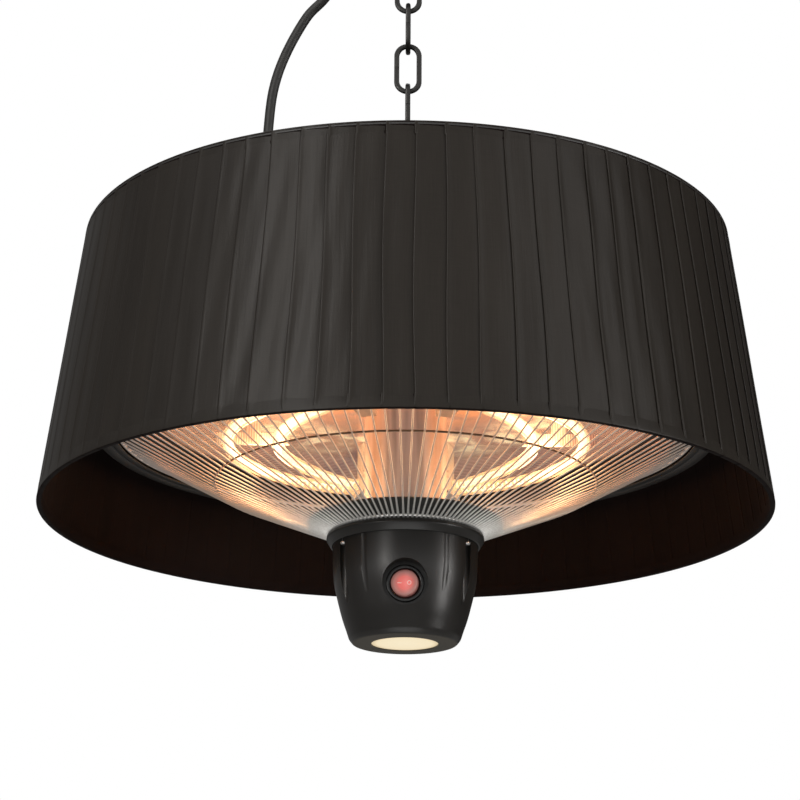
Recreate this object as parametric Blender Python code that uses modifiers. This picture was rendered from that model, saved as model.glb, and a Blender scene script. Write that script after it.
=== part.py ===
"""Hanging patio heater: a pleated fabric shade round an electric halogen heater head, hung
from a ceiling plate by a chain.

Metres, +Z up. The origin is the middle of the ceiling plate's top face, where the heater meets
the ceiling, and the front, with the switch, faces -Y.
"""

import math

import bmesh
import bpy
from mathutils import Matrix, Vector

# Clearances that every seat and running fit shares
seat_gap = 0.0003
cut_overrun = 0.004
merge_distance = 0.000001

# Ceiling plate, its hook and its screws
plate_radius = 0.062
plate_thickness = 0.003
plate_edge_round = 0.001
plate_screw_offset = 0.024
plate_screw_radius = 0.002
plate_screw_head_radius = 0.0042
plate_screw_head_height = 0.0026
hook_bar = 0.006
hook_bend_radius = 0.0105
hook_drop = 0.057
hook_neck = 0.005
hook_collar_radius = 0.0075
hook_collar_height = 0.004
hook_bend_start = 50.0
hook_bend_end = -205.0

# Chain of square bar
link_count = 6
link_length = 0.047
link_width = 0.023
link_bar = 0.004
link_chamfer = 0.001

# Eye on top of the heater, and the stem that carries everything below it
eye_bend_radius = 0.0105
eye_bar = 0.005
eye_collar_radius = 0.009
eye_collar_height = 0.004
eye_spigot_length = 0.012
stem_radius = 0.008
stem_wall = 0.002
stem_collar_radius = 0.012
stem_collar_height = 0.004
stem_end_below_dome = 0.016
nut_across_flats = 0.024
nut_height = 0.006

# Wire guard. Its outer ring sets how wide the housing is, and the housing how wide the shade is.
guard_wire_count = 80
guard_wire = 0.0018
guard_bend_share = 0.6
guard_ring_width = 0.0030
guard_outer_radius = 0.2416
guard_mid_radius = 0.1564
guard_foot_radius = 0.0627
guard_outer_above_lip = 0.0038
guard_mid_drop = 0.0455
guard_foot_drop = 0.0844

# Shade
shade_beyond_housing = 0.042
shade_taper = 0.0288
shade_height = 0.231
shade_below_eye = 0.030
pleat_count = 72
pleat_depth = 0.0014
pleat_long_share = 0.82
cover_backing = 0.0005
lining_backing = 0.0004
lining_pleat_depth = 0.0008
frame_wire = 0.0034
hem_thickness = 0.0006
hem_height = 0.011
spider_hub_drop = 0.014
spider_hub_radius = 0.016
spider_hub_thickness = 0.003
spider_arm_count = 3
spider_first_arm = -90.0
spider_arm_root_shares = (0.7, 1.4)
spider_arm_wire_share = 0.9

# Housing dome and the reflector inside it
housing_lip_width = 0.0146
housing_above_shade_bottom = 0.066
housing_height = 0.058
housing_side_height = 0.014
housing_sheet = 0.0012
dome_shares = ((0.91, 0.50), (0.60, 0.90))
dome_inset_share = 0.6
reflector_rim_above_lip = 0.0085
reflector_roof_above_lip = 0.034
reflector_rim_width = 0.020
reflector_roof_radius = 0.175
reflector_sheet = 0.001
housing_segments = 32

# Polished middle column, and the heat shield that stands on the pod's collar
column_radius = 0.021
column_wall = 0.0012
column_flange_radius = 0.034
column_flange_thickness = 0.0015
shield_radius = 0.081
shield_thickness = 0.0012

# Halogen heating tubes, two on each side, and their supports
tube_radius = 0.005
tube_wall = 0.0013
filament_radius = 0.0012
tube_above_shade_bottom = 0.0615
outer_tube_bend = 0.147
outer_tube_flare = -0.0025
inner_tube_bend = 0.106
inner_tube_flare = 0.0235
tube_arc_steps = 8
tube_end_straight = 0.006
holder_angle = 15.5
holder_length = 0.014
holder_width = 0.046
holder_height = 0.017
holder_mid_radius = 0.133
holder_post_width = 0.020
holder_post_depth_share = 0.7
holder_round = 0.0015
clip_thickness = 0.003
clip_bar_height = 0.010
clip_post_width = 0.012
clip_overhang = 0.004

# Pod under the guard: collar, body, screws, switch and lamp
collar_top_radius = 0.0640
collar_lip_radius = 0.0655
collar_skirt_radius = 0.0619
collar_lip_drop = 0.0050
collar_height = 0.0093
collar_plate = 0.003
collar_spigot_radius = 0.055
collar_wire_hole_radius = 0.014
pod_top_radius = 0.0592
pod_bottom_radius = 0.0425
pod_height = 0.0856
pod_wall = 0.0025
pod_floor = 0.0025
pod_edge_round = 0.0022
pod_shares = ((0.00, 0.00), (0.07, 0.00), (0.54, 0.18), (0.66, 0.36), (0.80, 0.62), (0.94, 0.93))
pod_inner_shares = ((0.00, 0.00), (0.54, 0.18), (0.80, 0.62))
pod_segments = 28
pod_screw_angle = 59.0
groove_radius = 0.0036
groove_axis_radius = 0.0574
groove_top_drop = 0.0085
groove_length = 0.062
boss_radius = 0.0062
pod_screw_radius = 0.0016
pod_screw_head_radius = 0.0030
pod_screw_head_height = 0.0022
pod_screw_crown_share = 0.8
switch_height_share = 0.54
switch_recess_radius = 0.0180
switch_recess_depth = 0.0100
switch_well_wall = 0.0025
bezel_radius = 0.0152
bezel_flange = 0.002
bezel_bore_radius = 0.0120
bezel_body_radius = 0.0134
bezel_body_depth = 0.0120
bezel_back = 0.0015
rocker_radius = 0.0108
rocker_edge_front = 0.0050
rocker_middle_front = 0.0024
rocker_back = 0.0014
rocker_pin_radius = 0.0012
rocker_rest_tilt = 10.0
lens_radius = 0.0269
lens_thickness = 0.0030
lens_flange_radius = 0.0315
lens_flange_thickness = 0.0015
lens_recess = 0.0006
module_radius = 0.0300
module_skirt = 0.0060
module_wall = 0.0015

# Supply cable, its gland, and what is stowed under the ceiling plate
cable_radius = 0.00425
gland_x = -0.1195
gland_thread_radius = 0.0075
gland_body_radius = 0.0115
gland_body_height = 0.005
gland_nut_radius = 0.0105
gland_nut_height = 0.014
gland_nut_top_radius = 0.0075
gland_nut_shoulder_share = 0.65
terminal_length = 0.040
terminal_width = 0.020
terminal_height = 0.014
terminal_x = -0.075
coil_outer_radius = 0.056
coil_pitch = 0.0100
coil_start_angle = 285.0
coil_end_angle = 285.0
coil_full_turns = 4
coil_reverse_turns = 0.5
coil_points_per_turn = 20
tail_straight = 0.040
tail_fall_length = 0.030
cradle_width = 0.012
cradle_strap = 0.0012
cradle_gap = 0.0008
cradle_tab_start = 0.015
plug_drop = 0.0205
plug_relief_length = 0.020
plug_relief_radius = 0.0065
plug_body_length = 0.032
plug_body_radius = 0.0185
plug_pin_radius = 0.0024
plug_pin_length = 0.019
plug_pin_offset = 0.0095
plug_collar_share = 0.72
plug_shoulder_shares = (0.12, 0.40)
plug_mouth_share = 1.2

# Sizes and heights that follow from those above. Names ending in _z are in the world's frame.
housing_radius = guard_outer_radius + guard_ring_width / 2 + seat_gap + housing_lip_width
shade_bottom_radius = housing_radius + shade_beyond_housing
shade_top_radius = shade_bottom_radius - shade_taper
link_inner = link_length - 2 * link_bar
link_pitch = link_inner - seat_gap
hook_bar_z = -hook_drop
first_link_z = hook_bar_z + hook_bar / 2 + seat_gap - link_inner / 2
last_link_z = first_link_z - (link_count - 1) * link_pitch
last_bar_z = last_link_z - link_inner / 2 - link_bar / 2
eye_z = last_link_z - link_inner / 2 + seat_gap - (eye_bend_radius - eye_bar / 2)
shade_top_z = eye_z - shade_below_eye
shade_bottom_z = shade_top_z - shade_height
lip_z = shade_bottom_z + housing_above_shade_bottom
dome_top_z = lip_z + housing_height
dome_inside_z = dome_top_z - housing_sheet
stem_top_z = eye_z - eye_bend_radius - eye_bar / 2 - eye_collar_height
hub_bottom_z = shade_top_z - spider_hub_drop
reflector_roof_z = lip_z + reflector_roof_above_lip
guard_outer_z = lip_z + guard_outer_above_lip
guard_mid_z = guard_outer_z - guard_mid_drop
guard_foot_z = guard_outer_z - guard_foot_drop
guard_inner_slope = (guard_mid_z - guard_foot_z) / (guard_mid_radius - guard_foot_radius)
collar_seat_z = (
    guard_foot_z - guard_ring_width / 2 * guard_inner_slope - guard_wire / 2 - seat_gap
)
shield_above_guard = guard_wire * (1 + guard_inner_slope) / 2 + seat_gap
shield_z = guard_foot_z + shield_above_guard
shield_rim_z = shield_z + (shield_radius - guard_foot_radius) * guard_inner_slope
pod_top_z = collar_seat_z - collar_plate - seat_gap
pod_bottom_z = pod_top_z - pod_height
switch_z = pod_top_z - pod_height * switch_height_share
tube_z = shade_bottom_z + tube_above_shade_bottom
coil_upper_z = -plate_thickness - seat_gap - cable_radius
coil_lower_z = coil_upper_z - coil_pitch

# The photographed run of the cable, from the gland to the coil: x and y, and the height above
# the shade's bottom edge. The last two points lie on the coil's tangent.
cable_route = (
    (-0.1195, 0.0000, 0.1700),
    (-0.1205, -0.0010, 0.2150),
    (-0.1212, -0.0020, 0.2650),
    (-0.1210, -0.0030, 0.3100),
    (-0.1202, -0.0040, 0.3442),
    (-0.1163, -0.0060, 0.3817),
    (-0.1062, -0.0090, 0.4137),
    (-0.0888, -0.0140, 0.4460),
    (-0.0736, -0.0180, 0.4620),
    (-0.0580, -0.0280, 0.4800),
    (-0.0440, -0.0390, 0.4990),
    (-0.0310, -0.0500, 0.5170),
    (-0.0180, -0.0580, 0.5310),
)
cable_tangent_run = 0.013
cable_spacing = 0.021

origin_of = {}


def start_scene():
    for old in list(bpy.data.objects):
        bpy.data.objects.remove(old)
    scene = bpy.context.scene
    collections = []
    for name in ("hanging_patio_heater", "cutters_and_guides"):
        made = bpy.data.collections.new(name)
        scene.collection.children.link(made)
        collections.append(made)
    collections[1].hide_render = True
    return collections


def surface(name, colour, roughness, metallic=0.0, glow=0.0):
    made = bpy.data.materials.new(name)
    made.use_nodes = True
    shader = made.node_tree.nodes["Principled BSDF"]
    shader.inputs["Base Color"].default_value = (*colour, 1.0)
    shader.inputs["Roughness"].default_value = roughness
    shader.inputs["Metallic"].default_value = metallic
    if glow:
        shader.inputs["Emission Color"].default_value = (*colour, 1.0)
        shader.inputs["Emission Strength"].default_value = glow
    return made


parts, guides = start_scene()
black_steel = surface("black_steel", (0.020, 0.019, 0.018), 0.45, 0.8)
housing_paint = surface("housing_paint", (0.018, 0.017, 0.016), 0.5)
bright_steel = surface("bright_steel", (0.62, 0.61, 0.60), 0.25, 1.0)
chrome_wire = surface("chrome_wire", (0.70, 0.68, 0.66), 0.2, 1.0)
polished_sheet = surface("polished_sheet", (0.85, 0.82, 0.78), 0.12, 1.0)
shade_fabric = surface("shade_fabric", (0.030, 0.026, 0.023), 0.7)
lining_fabric = surface("lining_fabric", (0.014, 0.008, 0.007), 0.8)
hem_tape = surface("hem_tape", (0.022, 0.019, 0.017), 0.75)
pod_plastic = surface("pod_plastic", (0.024, 0.023, 0.022), 0.42)
dark_plastic = surface("dark_plastic", (0.012, 0.012, 0.012), 0.4)
switch_red = surface("switch_red", (0.75, 0.10, 0.09), 0.25, 0.0, 0.4)
lens_white = surface("lens_white", (1.0, 0.86, 0.62), 0.3, 0.0, 1.0)
hot_glass = surface("hot_glass", (1.0, 0.70, 0.36), 0.1, 0.0, 2.0)
hot_filament = surface("hot_filament", (1.0, 0.55, 0.20), 0.4, 0.0, 4.0)
white_ceramic = surface("white_ceramic", (0.78, 0.76, 0.72), 0.6)
cable_rubber = surface("cable_rubber", (0.015, 0.015, 0.015), 0.6)
led_board_white = surface("led_board_white", (0.8, 0.8, 0.78), 0.5)


def pivot(name, place, parent=None):
    """An empty on a joint's axis, or where a fixed group starts."""
    made = bpy.data.objects.new(name, None)
    made.empty_display_size = link_width
    parts.objects.link(made)
    origin_of[name] = Vector(place)
    seat(made, place, parent)
    return made


def seat(made, place, parent):
    """Puts the object at a world place, under a parent that isn't turned."""
    start = Vector((0, 0, 0))
    if parent:
        made.parent = parent
        start = origin_of[parent.name]
    made.location = Vector(place) - start


def finish(made, material, parent, place=(0, 0, 0), helper=False):
    """Files an object as a piece of the heater, or as a tool that shapes one."""
    if helper:
        guides.objects.link(made)
        made.hide_render = True
        made.display_type = "WIRE"
    else:
        parts.objects.link(made)
        made.data.materials.append(material)
    seat(made, place, parent)
    return made


def turned(name, profile, segments, material, parent, place=(0, 0, 0), helper=False):
    """A turned piece. The profile runs down its outer side, and closes itself off the axis."""
    mesh = bpy.data.meshes.new(name)
    count = len(profile)
    on_axis = profile[0][0] == 0
    edges = [(i, (i + 1) % count) for i in range(count - (1 if on_axis else 0))]
    mesh.from_pydata([(radius, 0, z) for radius, z in profile], edges, [])
    made = finish(bpy.data.objects.new(name, mesh), material, parent, place, helper)
    screw = made.modifiers.new("Turn", "SCREW")
    screw.axis = "Z"
    screw.steps = screw.render_steps = segments
    screw.use_merge_vertices = True
    screw.merge_threshold = merge_distance
    return made


def path_curve(name, points, radius, resolution, cyclic=False):
    """A poly curve through the points, bevelled to a tube of this radius."""
    curve = bpy.data.curves.new(name, "CURVE")
    curve.dimensions = "3D"
    curve.bevel_depth = radius
    curve.bevel_resolution = resolution
    curve.use_fill_caps = not cyclic
    curve.twist_mode = "MINIMUM"
    spline = curve.splines.new("POLY")
    spline.points.add(len(points) - 1)
    for point, place in zip(spline.points, points):
        point.co = (*place, 1)
    spline.use_cyclic_u = cyclic
    return curve


def tube(name, points, radius, resolution, material, parent, place=(0, 0, 0), cyclic=False,
         helper=False):
    curve = path_curve(name, points, radius, resolution, cyclic)
    return finish(bpy.data.objects.new(name, curve), material, parent, place, helper)


def flat_curve(name, outlines, thickness):
    """A flat piece: closed outlines in its XY plane, the inner ones as holes."""
    curve = bpy.data.curves.new(name, "CURVE")
    curve.dimensions = "2D"
    curve.fill_mode = "BOTH"
    curve.extrude = thickness / 2
    for outline in outlines:
        spline = curve.splines.new("POLY")
        spline.points.add(len(outline) - 1)
        for point, (x, y) in zip(spline.points, outline):
            point.co = (x, y, 0, 1)
        spline.use_cyclic_u = True
    return curve


def as_mesh(made):
    """The curve object remade as a mesh with its caps welded, so that it can be cut."""
    bpy.context.view_layer.update()
    graph = bpy.context.evaluated_depsgraph_get()
    mesh = bpy.data.meshes.new_from_object(made.evaluated_get(graph))
    work = bmesh.new()
    work.from_mesh(mesh)
    bmesh.ops.remove_doubles(work, verts=work.verts, dist=merge_distance)
    bmesh.ops.recalc_face_normals(work, faces=work.faces)
    work.to_mesh(mesh)
    work.free()
    name, parent, helper = made.name, made.parent, made.hide_render
    places = (made.location.copy(), made.rotation_euler.copy())
    materials = list(made.data.materials)
    old_curve = made.data
    bpy.data.objects.remove(made)
    bpy.data.curves.remove(old_curve)
    mesh.materials.clear()
    for material in materials:
        mesh.materials.append(material)
    remade = bpy.data.objects.new(name, mesh)
    remade.hide_render = helper
    remade.display_type = "WIRE" if helper else "TEXTURED"
    (guides if helper else parts).objects.link(remade)
    remade.parent = parent
    remade.location, remade.rotation_euler = places
    return remade


def block(name, size, material, parent, place, turn=0.0, rounding=0.0, helper=False):
    """A box, turned about Z by an angle in radians, with its edges rounded."""
    mesh = bpy.data.meshes.new(name)
    work = bmesh.new()
    bmesh.ops.create_cube(work, size=1.0, matrix=Matrix.Diagonal((*size, 1.0)))
    work.to_mesh(mesh)
    work.free()
    made = finish(bpy.data.objects.new(name, mesh), material, parent, place, helper)
    made.rotation_euler.z = turn
    if rounding:
        bevel = made.modifiers.new("Round", "BEVEL")
        bevel.width = rounding
        bevel.segments = 1
    return made


def rod(name, radius, length, axis, place, sides=12, material=None, parent=None, helper=True):
    """A cylinder with its middle at the place and its length along the axis."""
    mesh = bpy.data.meshes.new(name)
    work = bmesh.new()
    turn = Vector(axis).to_track_quat("Z", "Y").to_matrix().to_4x4()
    bmesh.ops.create_cone(
        work, cap_ends=True, segments=sides, radius1=radius, radius2=radius, depth=length,
        matrix=turn,
    )
    work.to_mesh(mesh)
    work.free()
    return finish(bpy.data.objects.new(name, mesh), material, parent, place, helper)


def combine(made, tool, operation):
    change = made.modifiers.new(tool.name, "BOOLEAN")
    change.operation = operation
    change.object = tool
    change.solver = "EXACT"
    return made


def arc(centre, radius, start, end, steps):
    """Points on an arc between two angles in degrees, both ends included."""
    turn = (math.radians(start + (end - start) * i / steps) for i in range(steps + 1))
    return [(centre[0] + radius * math.cos(a), centre[1] + radius * math.sin(a)) for a in turn]


def smooth_route(knots, spacing):
    """Evenly spaced points on a smooth curve through the knots."""
    knots = [Vector(knot) for knot in knots]
    ends = [2 * knots[0] - knots[1], *knots, 2 * knots[-1] - knots[-2]]
    fine = []
    for a, b, c, d in zip(ends, ends[1:], ends[2:], ends[3:]):
        steps = max(2, round((c - b).length / merge_distance ** 0.5))
        for i in range(steps):
            t = i / steps
            fine.append(
                0.5 * (2 * b + (c - a) * t + (2 * a - 5 * b + 4 * c - d) * t**2
                       + (3 * b - a - 3 * c + d) * t**3)
            )
    fine.append(knots[-1])
    run = [0.0]
    for a, b in zip(fine, fine[1:]):
        run.append(run[-1] + (b - a).length)
    count = round(run[-1] / spacing)
    chosen = []
    at = 0
    for i in range(count + 1):
        wanted = run[-1] * i / count
        while at < len(run) - 2 and run[at + 1] < wanted:
            at += 1
        share = (wanted - run[at]) / (run[at + 1] - run[at])
        chosen.append(fine[at].lerp(fine[at + 1], share))
    return chosen, run[-1]


def make_ceiling_plate(parent):
    low, high, edge = -plate_thickness, 0, plate_edge_round
    profile = (
        (0, high), (plate_radius - edge, high), (plate_radius, high - edge),
        (plate_radius, low + edge), (plate_radius - edge, low), (0, low),
    )
    plate = turned("ceiling_plate", profile, pod_segments, black_steel, parent)
    depth = plate_thickness + 2 * cut_overrun
    for side in (-1, 1):
        hole = rod(f"cut_plate_{side}", plate_screw_radius + seat_gap, depth, (0, 0, 1),
                   (side * plate_screw_offset, 0, -plate_thickness / 2))
        combine(plate, hole, "DIFFERENCE")


def make_hook(parent):
    """A round-bar hook whose bowl lies in the YZ plane, right under its shank."""
    centre = (0, hook_bar_z + hook_bend_radius)
    bowl = arc(centre, hook_bend_radius, hook_bend_start, hook_bend_end, 14)
    neck_z = centre[1] + hook_bend_radius + hook_neck
    top = -plate_thickness - seat_gap
    points = [(0, 0, top - hook_collar_height / 2), (0, 0, neck_z)] + [(0, y, z) for y, z in bowl]
    hook = as_mesh(tube("ceiling_hook", points, hook_bar / 2, 1, black_steel, parent))
    collar = rod("join_hook_collar", hook_collar_radius, hook_collar_height, (0, 0, 1),
                 (0, 0, top - hook_collar_height / 2), 16)
    combine(hook, collar, "UNION")


def make_plate_screw(name, x, parent):
    """A pan-head screw that clamps a cradle's tab under the plate, cut off flush above it."""
    head_z = -plate_thickness - 2 * seat_gap - cradle_strap - seat_gap
    shoulder = plate_screw_head_radius - plate_screw_head_height / 3
    profile = (
        (0, -seat_gap), (plate_screw_radius, -seat_gap), (plate_screw_radius, head_z),
        (plate_screw_head_radius, head_z),
        (plate_screw_head_radius, head_z - plate_screw_head_height * 2 / 3),
        (shoulder, head_z - plate_screw_head_height), (0, head_z - plate_screw_head_height),
    )
    turned(name, profile, 12, bright_steel, parent, (x, 0, 0))


def coil_radius_and_height(turn_share, turns):
    """Where the cable lies after a share of its turns: in on the lower layer, out on the upper."""
    layer = (turns - coil_reverse_turns) / 2
    done = turn_share * turns
    inner = coil_outer_radius - coil_pitch * layer
    if done <= layer:
        return coil_outer_radius - coil_pitch * done, coil_lower_z
    if done <= layer + coil_reverse_turns:
        climb = (done - layer) / coil_reverse_turns
        return inner, coil_lower_z + coil_pitch * climb
    return inner + coil_pitch * (done - layer - coil_reverse_turns), coil_upper_z


def coil_inner_radius():
    turns = coil_full_turns + (coil_end_angle - coil_start_angle) / 360
    return coil_outer_radius - coil_pitch * (turns - coil_reverse_turns) / 2


def least_gap(points):
    """The least clear distance between the cable and itself, one turn or more along."""
    apart = round(coil_points_per_turn * 2 / 3)
    gaps = [
        (points[i] - points[j]).length
        for i in range(len(points)) for j in range(i + apart, len(points))
    ]
    return min(gaps) - 2 * cable_radius


def make_coil(parent):
    """The rest of the cable in one unbroken coil, ending in the tail that meets the plug."""
    turns = coil_full_turns + (coil_end_angle - coil_start_angle) / 360
    count = round(turns * coil_points_per_turn)
    points = []
    for i in range(count + 1):
        radius, z = coil_radius_and_height(i / count, turns)
        angle = math.radians(coil_start_angle + 360 * turns * i / count)
        points.append(Vector((radius * math.cos(angle), radius * math.sin(angle), z)))
    lead = math.radians(coil_start_angle + 90)
    start = points[0] - Vector((math.cos(lead), math.sin(lead), 0)) * 2 * cable_radius
    heading = math.radians(coil_end_angle + 90)
    along = Vector((math.cos(heading), math.sin(heading), 0))
    level = points[-1] + along * tail_straight
    end = level + along * tail_fall_length
    end.z = -plug_drop
    tail, _ = smooth_route([points[-1], level, level.lerp(end, 0.5), end], cable_spacing / 2)
    tail.append(end + along * 2 * cable_radius)
    wound = [start] + points + tail[1:]
    print(f"cable coil: least gap to itself {least_gap(wound) * 1000:.2f} mm")
    length = sum((b - a).length for a, b in zip(wound, wound[1:]))
    tube("cable_coil", wound, cable_radius, 1, cable_rubber, parent)
    return start, tail[-1], heading, length


def make_cradle(name, side, parent):
    """A strap under one plate screw that holds the coil up against the plate."""
    turn_inside = coil_inner_radius() - cable_radius - cradle_gap
    inside = math.sqrt(turn_inside**2 - (cradle_width / 2) ** 2)
    outside = coil_outer_radius + cable_radius + cradle_gap
    top = -plate_thickness - seat_gap
    under = coil_lower_z - cable_radius - cradle_gap
    strap = cradle_strap
    outline = (
        (cradle_tab_start, top), (inside, top), (inside, under), (outside, under),
        (outside, coil_upper_z), (outside + strap, coil_upper_z),
        (outside + strap, under - strap), (inside - strap, under - strap),
        (inside - strap, top - strap), (cradle_tab_start, top - strap),
    )
    curve = flat_curve(name, [outline], cradle_width)
    made = finish(bpy.data.objects.new(name, curve), bright_steel, parent)
    made.rotation_euler = (math.pi / 2, 0, 0 if side > 0 else math.pi)
    made = as_mesh(made)
    hole = rod(f"cut_{name}", plate_screw_radius + seat_gap, strap + 2 * cut_overrun, (0, 0, 1),
               (side * plate_screw_offset, 0, top))
    combine(made, hole, "DIFFERENCE")


def make_plug(place, heading, parent):
    """A moulded two-pin plug at the tail's end, its axis along the cable."""
    relief, body = plug_relief_length, plug_body_length
    round_off = plug_body_radius / 6
    start = seat_gap
    profile = (
        (0, start), (cable_radius * plug_mouth_share, start), (plug_relief_radius, relief),
        (plug_body_radius * plug_collar_share, relief + body * plug_shoulder_shares[0]),
        (plug_body_radius, relief + body * plug_shoulder_shares[1]),
        (plug_body_radius, relief + body - round_off),
        (plug_body_radius - round_off, relief + body), (0, relief + body),
    )
    plug = turned("mains_plug", profile[::-1], 16, dark_plastic, parent, place)
    plug.rotation_euler = (0, math.pi / 2, heading)
    along = Vector((math.cos(heading), math.sin(heading), 0))
    across = Vector((-along.y, along.x, 0))
    middle = Vector(place) + along * (relief + body + plug_pin_length / 2 - cut_overrun / 2)
    for side in (-1, 1):
        pin = rod(f"join_plug_pin_{side}", plug_pin_radius, plug_pin_length + cut_overrun, along,
                  middle + across * side * plug_pin_offset, 8)
        combine(plug, pin, "UNION")


def link_outline():
    """The bar's centre line: straight sides between half-round ends, flat across each end."""
    radius = (link_width - link_bar) / 2
    straight = (link_length - link_bar) / 2 - radius
    steps = 6
    corner = radius / math.cos(math.pi / steps / 2)
    half = [
        (corner * math.cos(a), straight + corner * math.sin(a))
        for a in (math.pi * (i + 0.5) / steps for i in range(steps))
    ]
    return (
        [(radius, 0)] + half + [(-radius, 0)] + [(-x, -z) for x, z in half]
    )


def make_links(top, parent):
    """Square-bar links, each on its own pivot, turned a quarter against the one above."""
    half, cut = link_bar / 2, link_chamfer
    section = bpy.data.curves.new("guide_link_section", "CURVE")
    section.dimensions = "2D"
    spline = section.splines.new("POLY")
    corners = []
    for sx, sy in ((1, -1), (1, 1), (-1, 1), (-1, -1)):
        ends = [(sx * half, sy * (half - cut)), (sx * (half - cut), sy * half)]
        corners += ends if sx * sy > 0 else ends[::-1]
    spline.points.add(len(corners) - 1)
    for point, (x, y) in zip(spline.points, corners):
        point.co = (x, y, 0, 1)
    spline.use_cyclic_u = True
    guide = finish(bpy.data.objects.new("guide_link_section", section), None, None, helper=True)
    hang_z = hook_bar_z
    for number in range(1, link_count + 1):
        parent = pivot(f"link_pivot_{number}", (0, 0, hang_z), parent)
        link_z = top - (number - 1) * link_pitch
        name = f"chain_link_{number}"
        curve = bpy.data.curves.new(name, "CURVE")
        curve.dimensions = "2D"
        curve.bevel_mode = "OBJECT"
        curve.bevel_object = guide
        spline = curve.splines.new("POLY")
        outline = link_outline()
        spline.points.add(len(outline) - 1)
        for point, (x, y) in zip(spline.points, outline):
            point.co = (x, y, 0, 1)
        spline.use_cyclic_u = True
        link = finish(bpy.data.objects.new(name, curve), black_steel, parent, (0, 0, link_z))
        quarter = 0 if number % 2 else math.pi / 2
        link.rotation_euler = (math.pi / 2, 0, quarter)
        as_mesh(link)
        hang_z = link_z - link_inner / 2 - link_bar / 2
    return pivot("heater_pivot", (0, 0, hang_z), parent)


def make_eye(parent):
    """The ring in the last link, on a collar with a spigot down into the stem."""
    points = [(x, 0, eye_z + z) for x, z in arc((0, 0), eye_bend_radius, 0, 330, 11)]
    eye = as_mesh(
        tube("hanging_eye", points, eye_bar / 2, 1, black_steel, parent, cyclic=True)
    )
    collar = rod("join_eye_collar", eye_collar_radius, eye_collar_height, (0, 0, 1),
                 (0, 0, stem_top_z + eye_collar_height / 2), 16)
    lower = stem_top_z - eye_spigot_length
    upper = stem_top_z + eye_collar_height + eye_bar / 2
    spigot = rod("join_eye_spigot", stem_radius - stem_wall - seat_gap, upper - lower, (0, 0, 1),
                 (0, 0, (upper + lower) / 2), 16)
    combine(combine(eye, collar, "UNION"), spigot, "UNION")


def make_stem(parent):
    """The hollow stem, with the collar that the shade's hub rests on."""
    top, end = stem_top_z - seat_gap, dome_top_z - stem_end_below_dome
    collar_top = hub_bottom_z - seat_gap
    collar_bottom = collar_top - stem_collar_height
    inner = stem_radius - stem_wall
    profile = (
        (inner, top), (stem_radius, top), (stem_radius, collar_top),
        (stem_collar_radius, collar_top), (stem_collar_radius, collar_bottom),
        (stem_radius, collar_bottom), (stem_radius, end), (inner, end),
    )
    turned("stem_tube", profile, 16, black_steel, parent)


def make_nut(name, bottom_z, parent):
    mesh_radius = nut_across_flats / 2 / math.cos(math.pi / 6)
    middle = (0, 0, bottom_z + nut_height / 2)
    nut = rod(name, mesh_radius, nut_height, (0, 0, 1), middle, 6, bright_steel, parent, False)
    bore = rod(f"cut_{name}", stem_radius + seat_gap, nut_height + 2 * cut_overrun, (0, 0, 1),
               middle, 16)
    combine(nut, bore, "DIFFERENCE")


def make_nuts(parent):
    make_nut("shade_nut", hub_bottom_z + spider_hub_thickness + seat_gap, parent)
    make_nut("dome_nut_upper", dome_top_z + seat_gap, parent)
    below = column_top() - column_flange_thickness - seat_gap
    make_nut("dome_nut_lower", below - nut_height, parent)


def shade_scale(height):
    """How much narrower the shade is at a height above its bottom edge."""
    return 1 - (1 - shade_top_radius / shade_bottom_radius) * height / shade_height


def shade_point(inset, height):
    """A profile point of the shade: in from its outer surface, up from its bottom edge."""
    return (shade_bottom_radius - inset) * shade_scale(height), shade_bottom_z + height


# Insets of the shade's layers from its outer surface, and where its frame wires run
cover_outer = hem_thickness + seat_gap
cover_inner = cover_outer + pleat_depth + cover_backing
lining_outer = cover_inner + seat_gap
lining_inner = lining_outer + lining_backing + lining_pleat_depth
rim_depth = lining_inner + seat_gap + hem_thickness
wire_middle = rim_depth / 2
wire_edge_height = hem_thickness + seat_gap + frame_wire / 2
layer_edge_height = wire_edge_height + frame_wire / 2 + seat_gap


def pleated_loop(ridge_inset, depth, outward):
    """One round of knife pleats: a long slope down from each ridge, and a short one back."""
    points = []
    for i in range(pleat_count):
        for share, sunk in ((0, 0), (pleat_long_share, 1)):
            angle = 2 * math.pi * (i + share) / pleat_count
            inset = ridge_inset + depth * sunk * (1 if outward else -1)
            radius = shade_bottom_radius - inset
            points.append((radius * math.cos(angle), radius * math.sin(angle)))
    return points


def plain_loop(inset):
    radius = shade_bottom_radius - inset
    turn = (2 * math.pi * i / pleat_count for i in range(pleat_count))
    return [(radius * math.cos(a), radius * math.sin(a)) for a in turn]


def make_fabric(name, outlines, material, parent):
    """A sleeve of fabric between two outlines, drawn in towards the top."""
    height = shade_height - 2 * layer_edge_height
    curve = flat_curve(name, outlines, height)
    sleeve = finish(bpy.data.objects.new(name, curve), material, parent,
                    (0, 0, shade_bottom_z + shade_height / 2))
    sleeve = as_mesh(sleeve)
    for vertex in sleeve.data.vertices:
        scale = shade_scale(vertex.co.z + shade_height / 2)
        vertex.co.x *= scale
        vertex.co.y *= scale
    return sleeve


def make_shade_layers(parent):
    make_fabric(
        "shade_cover", [pleated_loop(cover_outer, pleat_depth, True), plain_loop(cover_inner)],
        shade_fabric, parent,
    )
    make_fabric(
        "shade_lining",
        [plain_loop(lining_outer), pleated_loop(lining_inner, lining_pleat_depth, False)],
        lining_fabric, parent,
    )


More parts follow.
